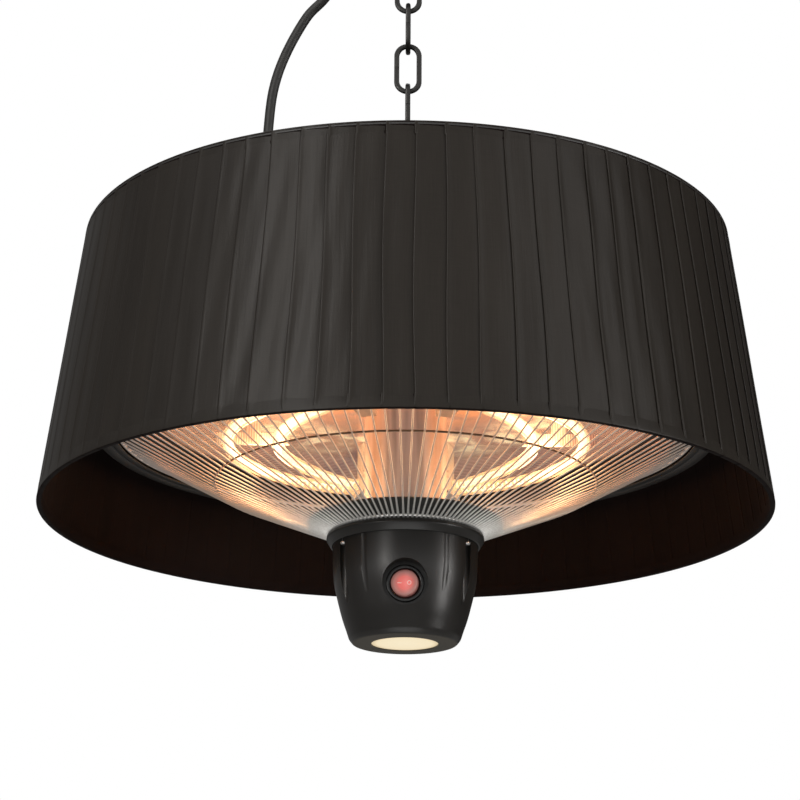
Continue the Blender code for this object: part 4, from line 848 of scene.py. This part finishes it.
def make_links():
    """Links of square bar with eased edges, and the seam of the weld on one side."""
    half, edge, around = LINK_BAR / 2, 0.0009, 12
    thicker, deeper = 0.0005, 0.12  # outside the bend, and on the straights
    bend = (LINK_W - LINK_BAR) / 2
    straight = (LINK_L - LINK_BAR) / 2 - bend
    ring = []
    for end, start, shares in ((1, 0, (0.6, 0.05, 0.0, -0.05, -0.6)),
                               (-1, pi, (-0.6, -0.2, 0.2, 0.6))):
        for a in (start + pi * i / 24 for i in range(25)):
            ring.append((bend * cos(a), end * straight + bend * sin(a), a))
        ring += [(-end * bend, straight * s, start + pi) for s in shares]

    def section(ease):
        return [(sx * (half - ease) + ease * cos(atan2(sy, sx) + k * pi / 4),
                 sy * (half - ease) + ease * sin(atan2(sy, sx) + k * pi / 4))
                for sx, sy in ((1, 1), (-1, 1), (-1, -1), (1, -1)) for k in (-1, 0, 1)]

    for number in range(1, LINKS + 1):
        z0 = first_link_z - (number - 1) * link_pitch
        verts = []
        for u, v, a in ring:
            weld = 0.9 if a == pi and abs(v) < 0.0004 else 1.0
            for out, deep in section(edge + (half - edge - 0.0002) * sin(a) ** 2):
                out = (out + (thicker if out > 0 else 0.0)) * weld
                side = deep * (1 + deeper * cos(a) ** 2) * weld
                along, z = u + cos(a) * out, z0 + v + sin(a) * out
                verts.append((along, side, z) if number % 2 else (-side, along, z))
        piece(f"chain_link_bar_{number}", (verts, sleeve(len(ring), around, True)), 24, chain_black,
              f"chain_link_{number}", f"link_{number}")


def nut(name, low, node):
    """A hexagon nut with turned chamfers."""
    height, flat = 0.006, 0.012
    corner = flat / cos(pi / 6)
    wide, high = corner * 1.002, low + height
    hexagon = revolve([(0, high), (corner, high), (corner, low), (0, low)], 6)
    barrel = revolve([(0, high), (flat * 0.985, high), (wide, low + height * 0.8),
                      (wide, low + height * 0.2), (flat * 0.985, low), (0, low)], 48)
    bore = rod_tool(STEM_R + 0.0002, 0.02, (0, 0, low))
    piece(name, carve(mesh_of(*hexagon), [bore], bounds=[tool(barrel)]), 20, steel,
          node)


def make_eye_and_stem():
    ring = sweep([(EYE_BEND * cos(a), 0, eye_z + EYE_BEND * sin(a))
                  for a in np.linspace(0, TAU, 60)[:-1]], EYE_BAR / 2, 18, True)
    collar = mm(0, stem_top_z, (0, 6.2), (4.5, 5.6), (9, 4), (9, 0), (5.7, 0), (5.7, -12), (0, -12))
    piece("hanging_eye_ring", merged(ring, turned(collar, 48, 0.0008)), 38, chain_black,
          "hanging_eye")
    top, end, rest, bore = stem_top_z - GAP, dome_z - 0.016, hub_z - GAP, 0.006
    profile = [(bore, top), (STEM_R, top), *mm(0, rest, (8, 0), (12, 0), (12, -4), (8, -4))]
    z = dome_z + 0.01
    while z > end + 0.0015:
        profile += mm(STEM_R, z, (0, 0), (-0.6, -0.5), (0, -1.0))
        z -= 0.00125
    piece("stem_tube_threaded", turned(profile + [(STEM_R, end), (bore, end)], 56, 0.0002, 1), 45,
          frame_black, "stem_tube")
    nut("shade_nut_hex", hub_z + HUB_T + GAP, "shade_nut")
    nut("dome_nut_upper_hex", dome_z + GAP, "dome_nut_upper")
    dress("dome_nut_lower", steel)


make_ceiling()
make_links()
make_eye_and_stem()


# ---- the shade
COVER_OUT, PLEAT, COVER_IN = 0.0007, 0.0018, 0.0028
LINING_OUT, LINING_IN, LINING_PLEAT = 0.0031, 0.0043, 0.0008
RIM_DEPTH, HEM, HEM_H, FRAME_WIRE_R = 0.0052, 0.0006, 0.011, 0.0017
EDGE_H = HEM + GAP + 2 * FRAME_WIRE_R + GAP
FOLD = ((0.1, 1.0), (0.75, 0.8), (1.0, 0.52), (0.94, 0.24), (0.62, 0.06), (0.2, 0.0))
PANEL = (0.04, 0.1, 0.2, 0.32, 0.45, 0.58, 0.7, 0.8, 0.88, 0.94, 0.98)
LOW_FLANGE = ((0.0, 0.0007), (0.0, 0.0018), (0.25, 0.0042), (0.7, 0.007), (1.0, 0.009))
TOP_FLANGE = ((0.0, 0.0005), (0.55, 0.0013), (0.92, 0.0025), (1.0, 0.0042), (1.0, 0.008))


def scale_at(height):
    return 1 - (1 - SHADE_TOP_R / SHADE_R) * height / SHADE_H


def creases(angle, height, seed):
    """Soft upright creases: a few waves round the shade that lean a little with height."""
    r = np.random.default_rng(seed)
    total = np.zeros(np.broadcast(angle, height).shape)
    for length in (0.015, 0.022, 0.034):
        for _ in range(3):
            around = round(TAU * SHADE_R / (length * r.uniform(0.8, 1.25)))
            lean, phase = r.uniform(-5.0, 5.0), r.uniform(0, TAU)
            swell = 0.5 + 0.5 * np.sin(angle * r.integers(2, 7) + r.uniform(0, TAU)
                                       + height * r.uniform(-8, 8))
            total += np.sin(around * angle + lean * height * 10 + phase) * swell * length
    return total * 0.007


def pleats(depth, seed):
    """Where the folds of one layer stand and how deep each is: angles and how far each is sunk."""
    r = np.random.default_rng(seed)
    pitch = TAU / PLEATS
    edges = np.arange(PLEATS) * pitch + FIRST_FOLD + r.uniform(-0.06, 0.06, PLEATS) * pitch
    depths = depth * r.uniform(0.7, 1.0, PLEATS)
    lap = 0.0015 / SHADE_R
    angles, sunk = [], []
    for i, here in enumerate(edges):
        wide = edges[(i + 1) % PLEATS] + (TAU if i == PLEATS - 1 else 0) - here
        angles += [here - lap * share for share, _ in FOLD]
        sunk += [depths[i - 1] * deep for _, deep in FOLD]
        for share in PANEL:
            angles.append(here + wide * share - 0.1 * lap * share)
            deep = 0.42 * (1 - exp(-share / 0.07)) + 0.25 * share + 0.33 * share**6
            sunk.append(depths[i] * deep)
    return np.array(angles), np.array(sunk), edges[0] - lap


def pleated_sleeve(name, folds, crest, back, outward, material, node, seed):
    """Knife pleats round the shade. Each fold stands over the panel before it, so its edge
    throws the thin dark line that the pleats show; the cloth between them is softly creased."""
    r = np.random.default_rng(seed)
    angles, sunk, first = folds
    rows, columns = 36, len(angles)
    low, high = EDGE_H, SHADE_H - EDGE_H
    heights = np.linspace(low, high, rows)
    sway = np.zeros((rows, columns))
    for _ in range(4):
        sway += r.uniform(0.0003, 0.0008) * np.sin(
            np.outer(heights, np.full(columns, r.uniform(8, 26))) + angles * r.integers(3, 17)
            + r.uniform(0, TAU))
    turn = angles[None, :] + sway / SHADE_R
    where = 0.28
    for strength, degrees, wide in ((1.1, 250, 0.24), (1.7, 301, 0.15), (0.7, 110, 0.4)):
        where = where + strength * np.exp(-(((turn - radians(degrees)) / wide) ** 2))
    ends = np.clip(np.minimum(heights - low, high - heights) / 0.03, 0.0, 1)[:, None]
    lift = np.clip(creases(turn, heights[:, None], seed + 3) * where * ends, -0.0012, 0.0009)
    if outward:
        inset = np.minimum(crest + sunk[None, :] - lift, back - 0.0002)
    else:
        inset = crest - sunk[None, :] + 0.4 * lift
    level = np.repeat(heights[:, None], columns, 1)
    plain = np.linspace(0, TAU, columns, endpoint=False)[None, :] + first
    verts = []
    for inward, way in ((inset, turn), (back, plain)):
        radius = (SHADE_R - inward) * scale_at(level)
        layer = np.stack([radius * np.cos(way), radius * np.sin(way), bottom_z + level], axis=-1)
        verts.append(layer.reshape(-1, 3))
    arc = np.cumsum(np.abs(np.diff(angles, prepend=angles[0]))) * SHADE_R
    uvs = np.stack([np.repeat(arc[None, :], rows, 0), level], axis=-1).reshape(-1, 2)
    front = sleeve(rows, columns)
    base, top = rows * columns, (rows - 1) * columns
    faces = front + [tuple(base + i for i in face[::-1]) for face in front]
    for j in range(columns):
        k = (j + 1) % columns
        faces.append((j, base + j, base + k, k))
        faces.append((top + k, base + top + k, base + top + j, top + j))
    mesh = mesh_of(np.concatenate(verts), faces, np.concatenate([uvs, uvs]))
    return piece(name, mesh, 70, material, node)


def hem(name, top, folds, node):
    """The tape folded round a rim. Over the cover it lies so close that the pleats show through."""
    flange = TOP_FLANGE if top else LOW_FLANGE
    angles, sunk, _ = folds
    cover, rim = COVER_OUT + sunk - 0.0001, 0.0008
    inner = HEM if top else HEM + 0.0085
    rows = [(rim + share * (cover - rim), up) for share, up in flange] + [
        (cover + 0.00025, HEM_H), (0.0021, HEM_H - 0.0003), (0.0021, EDGE_H - 0.0002),
        (0.0011, EDGE_H - 0.001), (0.0011, HEM), (RIM_DEPTH - 0.0006, HEM),
        (RIM_DEPTH - 0.0006, inner), (RIM_DEPTH, inner), (RIM_DEPTH, 0.0005),
        (RIM_DEPTH - 0.0004, 0.0), (rim + 0.0005, 0.0), (rim + 0.0001, 0.0002)]
    count, around = len(rows), len(angles)
    verts, uvs = [], []
    for inset, up in rows:
        inset, height = inset + 0 * angles, (SHADE_H - up if top else up) + 0 * angles
        radius = (SHADE_R - inset) * scale_at(height)
        verts.append(np.stack([radius * np.cos(angles), radius * np.sin(angles),
                               bottom_z + height], axis=-1))
        uvs.append(np.stack([angles * SHADE_R, up + inset], axis=-1))
    mesh = mesh_of(np.concatenate(verts), sleeve(count, around, True), np.concatenate(uvs))
    mesh.materials.append(hem_cloth)
    mesh.materials.append(lining_cloth)
    # the tape's inner faces take the lining's look, with its painted red glow
    inside = [1 if len(flange) < k < count - 1 else 0 for k in range(count) for _ in angles]
    mesh.polygons.foreach_set("material_index", inside)
    return piece(name, mesh, 60, hem_cloth, node)


def make_shade():
    folds, inner_folds = pleats(PLEAT, 11), pleats(LINING_PLEAT, 29)
    cover = pleated_sleeve("shade_cover_pleats", folds, COVER_OUT, COVER_IN, True, shade_cloth,
                           "shade_cover", 11)
    lining = pleated_sleeve("shade_lining_pleats", inner_folds, LINING_IN, LINING_OUT, False,
                            lining_cloth, "shade_lining", 29)
    low = hem("shade_hem_low", False, folds, "shade_hem_bottom")
    high = hem("shade_hem_high", True, folds, "shade_hem_top")


def make_shade_frame():
    wire_r, low = 0.0016, HEM + GAP + FRAME_WIRE_R
    high = SHADE_H - low
    ring_r, ring_z = (SHADE_R - RIM_DEPTH / 2) * scale_at(high), bottom_z + high
    parts = [sweep(circle(ring_r, ring_z, 180), wire_r, 12, True)]
    reach = ring_r * 0.9985
    bead = mm(0, 0, (0, 2.1), (1.6, 1.4), (2.3, 0), (1.6, -1.4), (0, -2.1))
    for number in range(3):
        a = radians(-90 + 120 * number)
        arm = ((0.0105, hub_z + 0.0015), (0.024, hub_z + 0.0015), (reach - 0.011, ring_z),
               (reach, ring_z), (reach - 0.0005, ring_z))
        *knots, weld = [Vector((r * cos(a), r * sin(a), z)) for r, z in arm]
        parts.append(sweep(evenly(soften(knots, 3), 0.004), wire_r, 14))
        parts.append(revolve(bead, 16, weld))
    bore = STEM_R + 0.0002
    hub = [(bore, hub_z + HUB_T), (0.016, hub_z + HUB_T), (0.016, hub_z), (bore, hub_z)]
    piece("shade_spider", merged(*parts, turned(hub, 64, 0.0007)), 40, frame_black,
          "shade_frame_top")
    low_r = (SHADE_R - RIM_DEPTH / 2) * scale_at(low)
    piece("shade_ring_wire", sweep(circle(low_r, bottom_z + low, 180), 0.0015, 12, True), 50,
          frame_black, "shade_ring_bottom")


make_shade()
make_shade_frame()


# ---- housing, reflector and column
def make_housing():
    outline = ((0.988, 0.16), (0.91, 0.5), (0.77, 0.735), (0.6, 0.9), (0.3, 0.955))
    knots = [(HOUSING_R, side_z + 0.0005)]
    knots += [(HOUSING_R * r, side_z + dome_rise * z) for r, z in outline]
    skin = soften_flat(knots + mm(0, dome_z, (40, -0.6), (30, 0), (8.3, 0)), 3)
    lip = mm(GUARD_OUT + GUARD_RING / 2 + GAP, lip_z, (0, 1.2), (0, 0.3), (1, 0), (5, 0),
             (6.2, 0.7), (7.4, 0))
    lip += mm(HOUSING_R, lip_z, (-3, 0), (-1, 0.8), (0, 2.8), (0, 9), (-0.8, 10), (-0.8, 11.2),
              (0, 12.2))
    inner = [(HOUSING_R - SHEET - 0.0008, lip_z + SHEET + 0.0004)]
    inner += [(r - SHEET * 0.6, z - SHEET) for r, z in skin[:-1]] + [(0.0083, dome_z - SHEET)]
    hole = rod_tool(0.0078, 0.03, (GLAND_X, 0, dome_height(abs(GLAND_X))), sides=32)
    shell = mesh_of(*revolve(lip + skin + inner[::-1], 192))
    piece("housing_shell", carve(shell, [hole]), 35, housing_black, "housing_dome")


def make_reflector():
    rim_out = (HOUSING_R - SHEET) * cos(pi / 32) - GAP
    rim_z = lip_z + 0.0085
    under = soften_flat([
        (rim_out, rim_z), (rim_out - 0.016, rim_z), (rim_out - 0.021, rim_z + 0.0004),
        (0.206, lip_z + 0.023), (0.176, roof_z - 0.0004), (0.168, roof_z),
        (COLUMN_R + GAP, roof_z)], 3)
    bowl = revolve(under + [(r, z + 0.001) for r, z in under[::-1]], 192)
    piece("reflector_bowl", bowl, 40, dish_metal, "reflector_dish")


def make_column():
    top, low = dome_height(COLUMN_R) - SHEET - GAP, shield_z + SHEET + GAP
    wall, foot, neck, hole = 0.0015, COLUMN_R + 0.007, STEM_R + GAP, 0.0198
    inner, cone, rim = COLUMN_R - SHEET, shield_z, shield_rim_z
    profile = [(neck, top), (COLUMN_R, top), (COLUMN_R, low + wall), (foot, low + wall),
               (foot, low), (inner, low), (inner, top - wall), (neck, top - wall)]
    piece("column_tube", turned(profile, 96, 0.0008), 32, streaked,
          "reflector_column")
    profile = [(hole, cone + SHEET), (GUARD_FOOT, cone + SHEET),
               (SHIELD_R - 0.001, rim + SHEET - 0.0004), (SHIELD_R, rim + SHEET), (SHIELD_R, rim),
               (GUARD_FOOT, cone), (hole, cone)]
    piece("shield_cone", turned(profile, 144, 0.0005), 32, shield_black,
          "heat_shield")


make_housing()
make_reflector()
make_column()


# ---- heating tubes and their holders
HOLDER_TURN = radians(15.5)


def tube_path(bend, flare, side):
    """Half a ring from holder to holder; its ends flare out to the holders' seats."""
    steps, end_gap = 48, 0.0006
    out = Vector((sin(HOLDER_TURN), cos(HOLDER_TURN), 0))
    across = Vector((cos(HOLDER_TURN), -sin(HOLDER_TURN), 0))
    end = out * (bend + flare) + across * (0.007 + end_gap)
    knee = end + across * 0.006
    widest = atan2(knee.y, knee.x)
    quarter = [(end.x, end.y)]
    for i in range(steps // 2 + 1):
        share = 1 - 2 * i / steps
        radius = bend + (knee.length - bend) * share**3
        quarter.append((radius * cos(share * widest), radius * sin(share * widest)))
    whole = quarter + [(x, -y) for x, y in reversed(quarter[:-1])]
    return [(side * x, y, tube_z) for x, y in whole]


def make_tubes():
    step, pitch, coil_r = 0.0004, 0.0044, 0.0023
    for side_name, side in SIDES:
        for ring, bend, flare in (("outer", 0.147, -0.0025), ("inner", 0.106, 0.0235)):
            name = f"{ring}_{side_name}"
            path = evenly(tube_path(bend, flare, side), 0.004)
            piece(f"quartz_tube_{name}", sweep(path, TUBE_R, 20), 50, quartz,
                  f"heating_tube_{name}")
            line = evenly(path, step)
            across, up = frames_along(line)
            turn = (np.arange(len(line)) * step / pitch * TAU)[:, None]
            helix = (line + coil_r * (across * np.cos(turn) + up * np.sin(turn)))[8:-8]
            piece(f"filament_coil_{name}", sweep(helix, 0.00075, 5), 180, hot_wire,
                  f"filament_{name}")


def make_supports():
    high, low = roof_z - GAP, tube_z + 0.0085 - 0.0015
    for side_name, side in SIDES:
        for end_name, end in ENDS:
            out = Vector((side * sin(HOLDER_TURN), end * cos(HOLDER_TURN), 0))
            place, angle = out * 0.133 + Vector((0, 0, tube_z)), atan2(out.y, out.x)
            name = f"tube_holder_{end_name}_{side_name}"
            block = box_mesh((0.046, 0.014, 0.017), place, angle, 0.0012)
            post = tool(box_mesh((0.02, 0.0098, high - low), (place.x, place.y, (low + high) / 2),
                                 angle, 0.0006))
            # the front holders take the tubes' glow as painted light; the rear ones are plain
            piece(f"{name}_block", carve(block, joins=[post]), 30,
                  porcelain if end > 0 else glow_painted_porcelain, name)
        # the clips take the dish's look, with its painted glow
        dress(f"tube_clip_{side_name}", dish_metal)


make_tubes()
make_supports()


# ---- wire guard
def make_guard():
    radii = (GUARD_FOOT - 0.0016, GUARD_FOOT + 0.0012, 0.08, 0.1, 0.12, 0.138, 0.149, GUARD_MID,
             0.164, 0.176, 0.195, 0.215, 0.23, GUARD_OUT + 0.0004)
    heights = np.interp(radii, (GUARD_FOOT, GUARD_MID, GUARD_OUT),
                        (guard_foot_z, guard_mid_z, guard_out_z))
    heights[:2] -= 0.0006  # the wires' ends pass under the foot ring
    thick = [GUARD_WIRE_R * (1.0 if radius < 0.07 else 0.74) for radius in radii]
    wires = []
    r = np.random.default_rng(8)
    for number in range(GUARD_WIRES):
        a = TAU * (number + 0.5) / GUARD_WIRES + r.normal(0, 0.0012)
        path = [(radius * cos(a), radius * sin(a), z) for radius, z in zip(radii, heights)]
        wires.append(sweep(path, thick, 8))
    rings = (sweep(circle(GUARD_FOOT, guard_foot_z + 0.0003, 144), 0.0011, 12, True),
             sweep(circle(GUARD_OUT, guard_out_z, 240), 0.0014, 12, True))
    for name, parts in (("guard_wires", wires), ("guard_rings", rings)):
        piece(name, merged(*parts), 60, guard_chrome, "wire_guard")
    mid = guard_mid_z + GUARD_WIRE * 0.6 + GAP + GUARD_WIRE / 2
    piece("guard_middle_ring", sweep(circle(GUARD_MID, mid, 200), 0.00085, 10, True), 50,
          ring_brown, "guard_mid_ring")


make_guard()


# ---- collar, pod, switch and lamp
POD_SHARES = ((0.0, 0.0), (0.07, 0.0), (0.36, 0.04), (0.49, 0.15), (0.61, 0.3), (0.76, 0.5),
              (0.875, 0.71))
POD_INNER = ((0.0, 0.0), (0.54, 0.18), (0.8, 0.62))
POD_CORNER_R, POD_WALL, POD_DROP = 0.0452, 0.0025, POD_TOP_R - POD_LOW_R
SCREW_R, SCREW_ANGLE, GROOVE = 0.0574, radians(59.0), 0.062
FLUTE = ((64.7, 4), (64.7, -4), (64.0, -29.5), (62.1, -42.2), (60.1, -52.3), (59.4, -60.0))
screw_places = [(side * SCREW_R * sin(SCREW_ANGLE), end * SCREW_R * cos(SCREW_ANGLE), 0)
                for end in (-1, 1) for side in (-1, 1)]
pod_front = POD_TOP_R - POD_DROP * float(np.interp(0.54, *zip(*POD_SHARES)))
floor_y = 0.01 - pod_front


def front_rod(radius, back, front, sides):
    """A rod along Y through the switch, between two places on that axis."""
    return rod_tool(radius, back - front, (0, (back + front) / 2, switch_z), "Y", sides)


def ease_edges(made):
    ease = made.modifiers.new("edge_ease", "BEVEL")
    ease.width, ease.segments, ease.limit_method = 0.0005, 2, "ANGLE"
    return ease


def make_collar():
    skirt, top = POD_TOP_R + GAP, shield_z - GAP
    profile = [(0.014, top), (0.055, top),
               *mm(0, seat_z, (55, 0), (64, 0), (64.5, -3.4), (60.8, -9.3)),
               (skirt, seat_z - 0.0093), (skirt, seat_z - COLLAR_T), (0.014, seat_z - COLLAR_T)]
    piece("pod_collar_ring", turned(profile, 128, 0.0008), 32, pod_black,
          "pod_collar")


def pod_hollow():
    """The room inside the pod, less what its walls keep round the screws and the switch."""
    floor, above = pod_low_z + POD_WALL, pod_z + 0.004
    walls = [(POD_TOP_R - POD_DROP * r - POD_WALL, pod_z - POD_H * z) for z, r in POD_INNER]
    walls += [(POD_LOW_R - POD_WALL, floor), (0, floor)]
    keepers = []
    for x, y, _ in screw_places:
        low = screw_seat_z - GROOVE
        long = pod_z + 0.008 - low
        keepers.append(rod_tool(0.0062, long, (x, y, low + long / 2), sides=24))
    keepers.append(front_rod(0.0205, floor_y + POD_WALL, -pod_front - 0.004, 48))
    return carve(mesh_of(*revolve([(0, above), (walls[0][0], above), *walls], 96)), keepers)


def make_pod():
    knots = [(POD_TOP_R - POD_DROP * r, pod_z - POD_H * z) for z, r in POD_SHARES]
    outline = soften_flat(knots, 2)
    foot = mm(0, pod_low_z, (POD_CORNER_R * 1000, 4), (POD_CORNER_R * 1000 - 3.2, 0), (30, 0))
    outline += rounded([outline[-1], *foot], 0.0016, 4, False)[1:]
    body = mesh_of(*revolve([(0, pod_z), *outline, (0, pod_low_z)], 128))
    cuts = [tool(pod_hollow())]
    for x, y, _ in screw_places:
        middle = (x * 0.993, y * 0.993, screw_seat_z - GROOVE / 2)
        cuts += [rod_tool(0.0043, GROOVE, middle, sides=32),
                 rod_tool(0.0019, 0.021, (x, y, screw_seat_z), sides=16)]
    for a in np.radians((34.0, 146.0, 214.0, 326.0)):
        flute = [(r * sin(a), r * cos(a), z) for r, z in mm(0, pod_z, *FLUTE)]
        cuts.append(tool(sweep(flute, 0.006, 24)))
    cuts += [front_rod(0.018, floor_y, -pod_front - 0.004, 64),
             front_rod(0.0137, floor_y + 0.0065, floor_y - 0.004, 48),
             rod_tool(0.0272, 0.009, (0, 0, pod_low_z), sides=96)]
    mesh = carve(body, cuts)
    work = bmesh.new()
    work.from_mesh(mesh)
    bmesh.ops.remove_doubles(work, verts=work.verts, dist=0.00002)
    work.to_mesh(mesh)
    work.free()
    mesh.materials.clear()
    mesh.materials.append(pod_black)
    mesh.materials.append(pod_base_painted_light)
    # the bottom face takes the paler copy: painted light from below
    for face in mesh.polygons:
        face.material_index = face.normal.z < -0.9 and face.center.z < pod_low_z + 0.001
    made = piece("pod_shell", mesh, 28, pod_black, "pod_body")
    ease = ease_edges(made)
    ease.angle_limit = radians(50)
    ease.harden_normals = True


def make_screws():
    names = ("front_left", "front_right", "rear_left", "rear_right")
    for name, place in zip(names, screw_places):
        screw(f"pod_screw_pan_{name}", place, 0.0016, seat_z - COLLAR_T + 0.001, screw_seat_z - GAP,
              ((3.0, 0), (3.0, -1.0), (2.4, -1.9), (1.2, -2.2), (0, -2.2)), 24,
              (0.003, 0.0006, 0.002), 0.5, f"pod_screw_{name}")


def make_switch():
    seat = Vector((0, floor_y - GAP, switch_z))
    profile = ((0, 10.5), (12, 10.5), (12, -1.6), (12.6, -2), (14.6, -2), (15.2, -1.4), (15.2, 0),
               (13.4, 0), (13.4, 12), (0, 12))
    bezel = turned(mm(0, seat.y, *profile), 72, 0.0003, 2, (0, 0, switch_z), "Y")
    piece("switch_bezel_ring", bezel, 30, bezel_black, "switch_bezel")
    radius, around = 0.0108, 72
    turn = Matrix.Translation(seat) @ Matrix.Rotation(-radians(10.0), 4, "Z")  # on: left side in

    def front_y(x):
        return -0.0026 - 0.0024 * (x / radius) ** 2

    def mark(x, z=0.0):
        return turn @ Vector((x, front_y(x) + 0.00005, z))

    verts = [turn @ Vector((0.0, front_y(0.0), 0.0))]
    for share, drop in ((0.25, 0.0), (0.5, 0.0), (0.75, 0.0), (0.92, 0.0), (0.98, 0.0003),
                        (1.0, 0.001), (1.0, None)):
        for x, z, _ in circle(radius * share, 0, around):
            y = 0.0014 if drop is None else front_y(x) + drop
            verts.append(turn @ Vector((x, y, z)))
    faces = [(0, 1 + k, 1 + (k + 1) % around) for k in range(around)]
    faces += sleeve(7, around, first=1) + [tuple(range(1 + 6 * around, 1 + 7 * around))]
    pins = sweep([seat + Vector((0, 0, z)) for z in (-0.0109, 0, 0.0109)], 0.0012, 12)
    piece("rocker_cap", merged((verts, faces), pins), 30, lit_red("lit_rocker", seat, 0.0112),
          "switch_rocker", "rocker")
    bar = [mark(-0.004 + s) for s in (-0.0016, 0, 0.0016)]
    ring = [mark(0.0038 + x, z) for x, z, _ in circle(0.0015, 0, 28)]
    marks = merged(sweep(bar, 0.00035, 8), sweep(ring, 0.0003, 8, True))
    piece("rocker_on_off_marks", marks, 60, mark_print("rocker_marks"), body="rocker")


def make_lamp():
    low, flange = pod_low_z + 0.0006, pod_low_z + POD_WALL + GAP
    profile = [(0, flange + 0.0015), (0.0315, flange + 0.0015), (0.0315, flange), (0.0269, flange),
               (0.0269, low), (0, low)]
    piece("lamp_lens_disc", turned(profile, 96, 0.0004), 32, lens_glow, "led_lens")
    dress("led_module", board_white)


def make_gland():
    base, bore, centre = gland_base_z, CABLE_R + 0.0002, (GLAND_X, 0, 0)
    under = dome_height(abs(GLAND_X) + GLAND_R) - 0.0036
    high = base + GLAND_T
    hexagon = [(bore, high), (GLAND_R, high), (GLAND_R, base), (bore, base)]
    thread = [(bore, base + 0.0005), (0.0075, base + 0.0005), (0.0075, under), (bore, under)]
    ease_edges(piece("gland_body", merged(revolve(hexagon, 6, centre), revolve(thread, 40, centre)),
                     25, deep_black, "cable_gland"))
    profile = rounded([(CABLE_R + 0.0001, gland_top_z), *mm(
        0, gland_cap_z, (7.5, 14), (9.3, 11.8), (10.5, 8.5), (10.5, 0)),
        (CABLE_R + 0.0001, gland_cap_z)], 0.0007)
    verts, around = [], 72
    for r, z in profile:
        for k, (x, y, _) in enumerate(circle(r, z, around)):
            grip = 0.97 if k % 6 in (0, 1) and r > 0.009 else 1.0
            verts.append((GLAND_X + x * grip, y * grip, z))
    piece("gland_cap", (verts, sleeve(len(profile), around, True)), 25, deep_black,
          "gland_nut")
    dress("terminal_block", porcelain)


make_collar()
make_pod()
make_screws()
make_switch()
make_lamp()
make_gland()


# ---- floor, world and lamps
def make_floor():
    size, depth, white = 14, -3.1, (0.8, 0.8, 0.79)
    look = Look("studio_floor", white, 0.85, specular=0.1)
    camera_ray = look.new("ShaderNodeLightPath", {}, "Is Camera Ray")
    look.set(Base_Color=look.ramp(look.noise(1.2), (0.3, white), (0.7, (0.82, 0.82, 0.81))),
             Emission_Color=(1.0, 1.0, 1.0), Emission_Strength=look.times(camera_ray, 0.45))
    corners = [(x * size, y * size, depth) for x, y in ((-1, -1), (1, -1), (1, 1), (-1, 1))]
    mesh = bpy.data.meshes.new("studio_floor")
    mesh.from_pydata(corners, [], [(0, 1, 2, 3)])
    mesh.materials.append(look.material)
    add("studio_floor", mesh)


def make_world():
    """White behind the object. Reflections see the same white room, dark behind on the right
    and grey behind on the left, and the surfaces themselves are lit softly."""
    world = bpy.data.worlds.new("studio")
    bpy.context.scene.world = world
    world.use_nodes = True
    world.node_tree.nodes.clear()
    room = Nodes(world.node_tree)

    def darkening(way, share):
        sockets = {0: room.places["Generated"], 1: way}
        dot = room.new("ShaderNodeVectorMath", sockets, "Value", operation="DOT_PRODUCT")
        return room.span(dot, 0.35, 0.8, 1.0, 1.0 - share)

    def light(colour, strength):
        return room.new("ShaderNodeBackground", {"Color": colour, "Strength": strength})

    path = room.new("ShaderNodeLightPath", {}).node.outputs
    grade = room.times(darkening((0.78, 0.62, 0.0), 0.97), darkening((-0.78, 0.62, 0.0), 0.8))
    mirrored = room.math("MAXIMUM", path["Is Glossy Ray"], path["Is Transmission Ray"])
    seen = room.math("MAXIMUM", path["Is Camera Ray"], mirrored)
    soft = light((1.0, 0.985, 0.965), 0.25)
    white = light((1.0, 1.0, 1.0), room.math("MAXIMUM", path["Is Camera Ray"], grade))
    surface = room.new("ShaderNodeMixShader", {0: seen, 1: soft, 2: white})
    room.put(surface, room.tree.nodes.new("ShaderNodeOutputWorld").inputs["Surface"])


def lamp(name, kind, place, power, colour=(1, 1, 1)):
    data = bpy.data.lights.new(name, kind)
    data.energy, data.color = power, colour
    made = add(name, data)
    made.location = place
    return made


def area_lamp(name, place, aim, size, power, colour=(1, 1, 1)):
    made = lamp(name, "AREA", place, power, colour)
    made.data.shape = "RECTANGLE"
    made.data.size, made.data.size_y = size
    made.rotation_mode = "QUATERNION"
    made.rotation_quaternion = (Vector(aim) - Vector(place)).to_track_quat("-Z", "Y")


def glow_lamps():
    """Small warm lamps between the tubes, which light the dish, the column and the wires."""
    for side_name, side in SIDES:
        for end_name, end in ENDS[::-1]:
            made = lamp(f"tube_glow_{side_name}_{end_name}", "POINT",
                        (side * 0.112, end * 0.062, tube_z - 0.004), 0.42, (1.0, 0.6, 0.32))
            made.data.shadow_soft_size = 0.03
            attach(made, "heater")


make_floor()
make_world()
middle, warm, pale = (0.0, 0.0, -0.42), (1.0, 0.97, 0.93), (1.0, 0.98, 0.96)
area_lamp("key_left", (-1.36, -2.22, 0.42), middle, (0.5, 2.4), 40.0, warm)
area_lamp("fill_right", (2.0, -1.68, 0.95), middle, (0.6, 1.3), 5.0, pale)
area_lamp("low_right", (2.35, -0.95, -0.45), (0.0, 0.0, -0.6), (0.5, 1.6), 30.0, pale)
area_lamp("back_top", (0.3, 1.9, 1.6), middle, (2.0, 1.2), 22.0)
area_lamp("under", (0.0, -1.2, -2.4), middle, (1.8, 1.2), 8.0)
glow_lamps()

bpy.context.scene.view_settings.view_transform = "Standard"
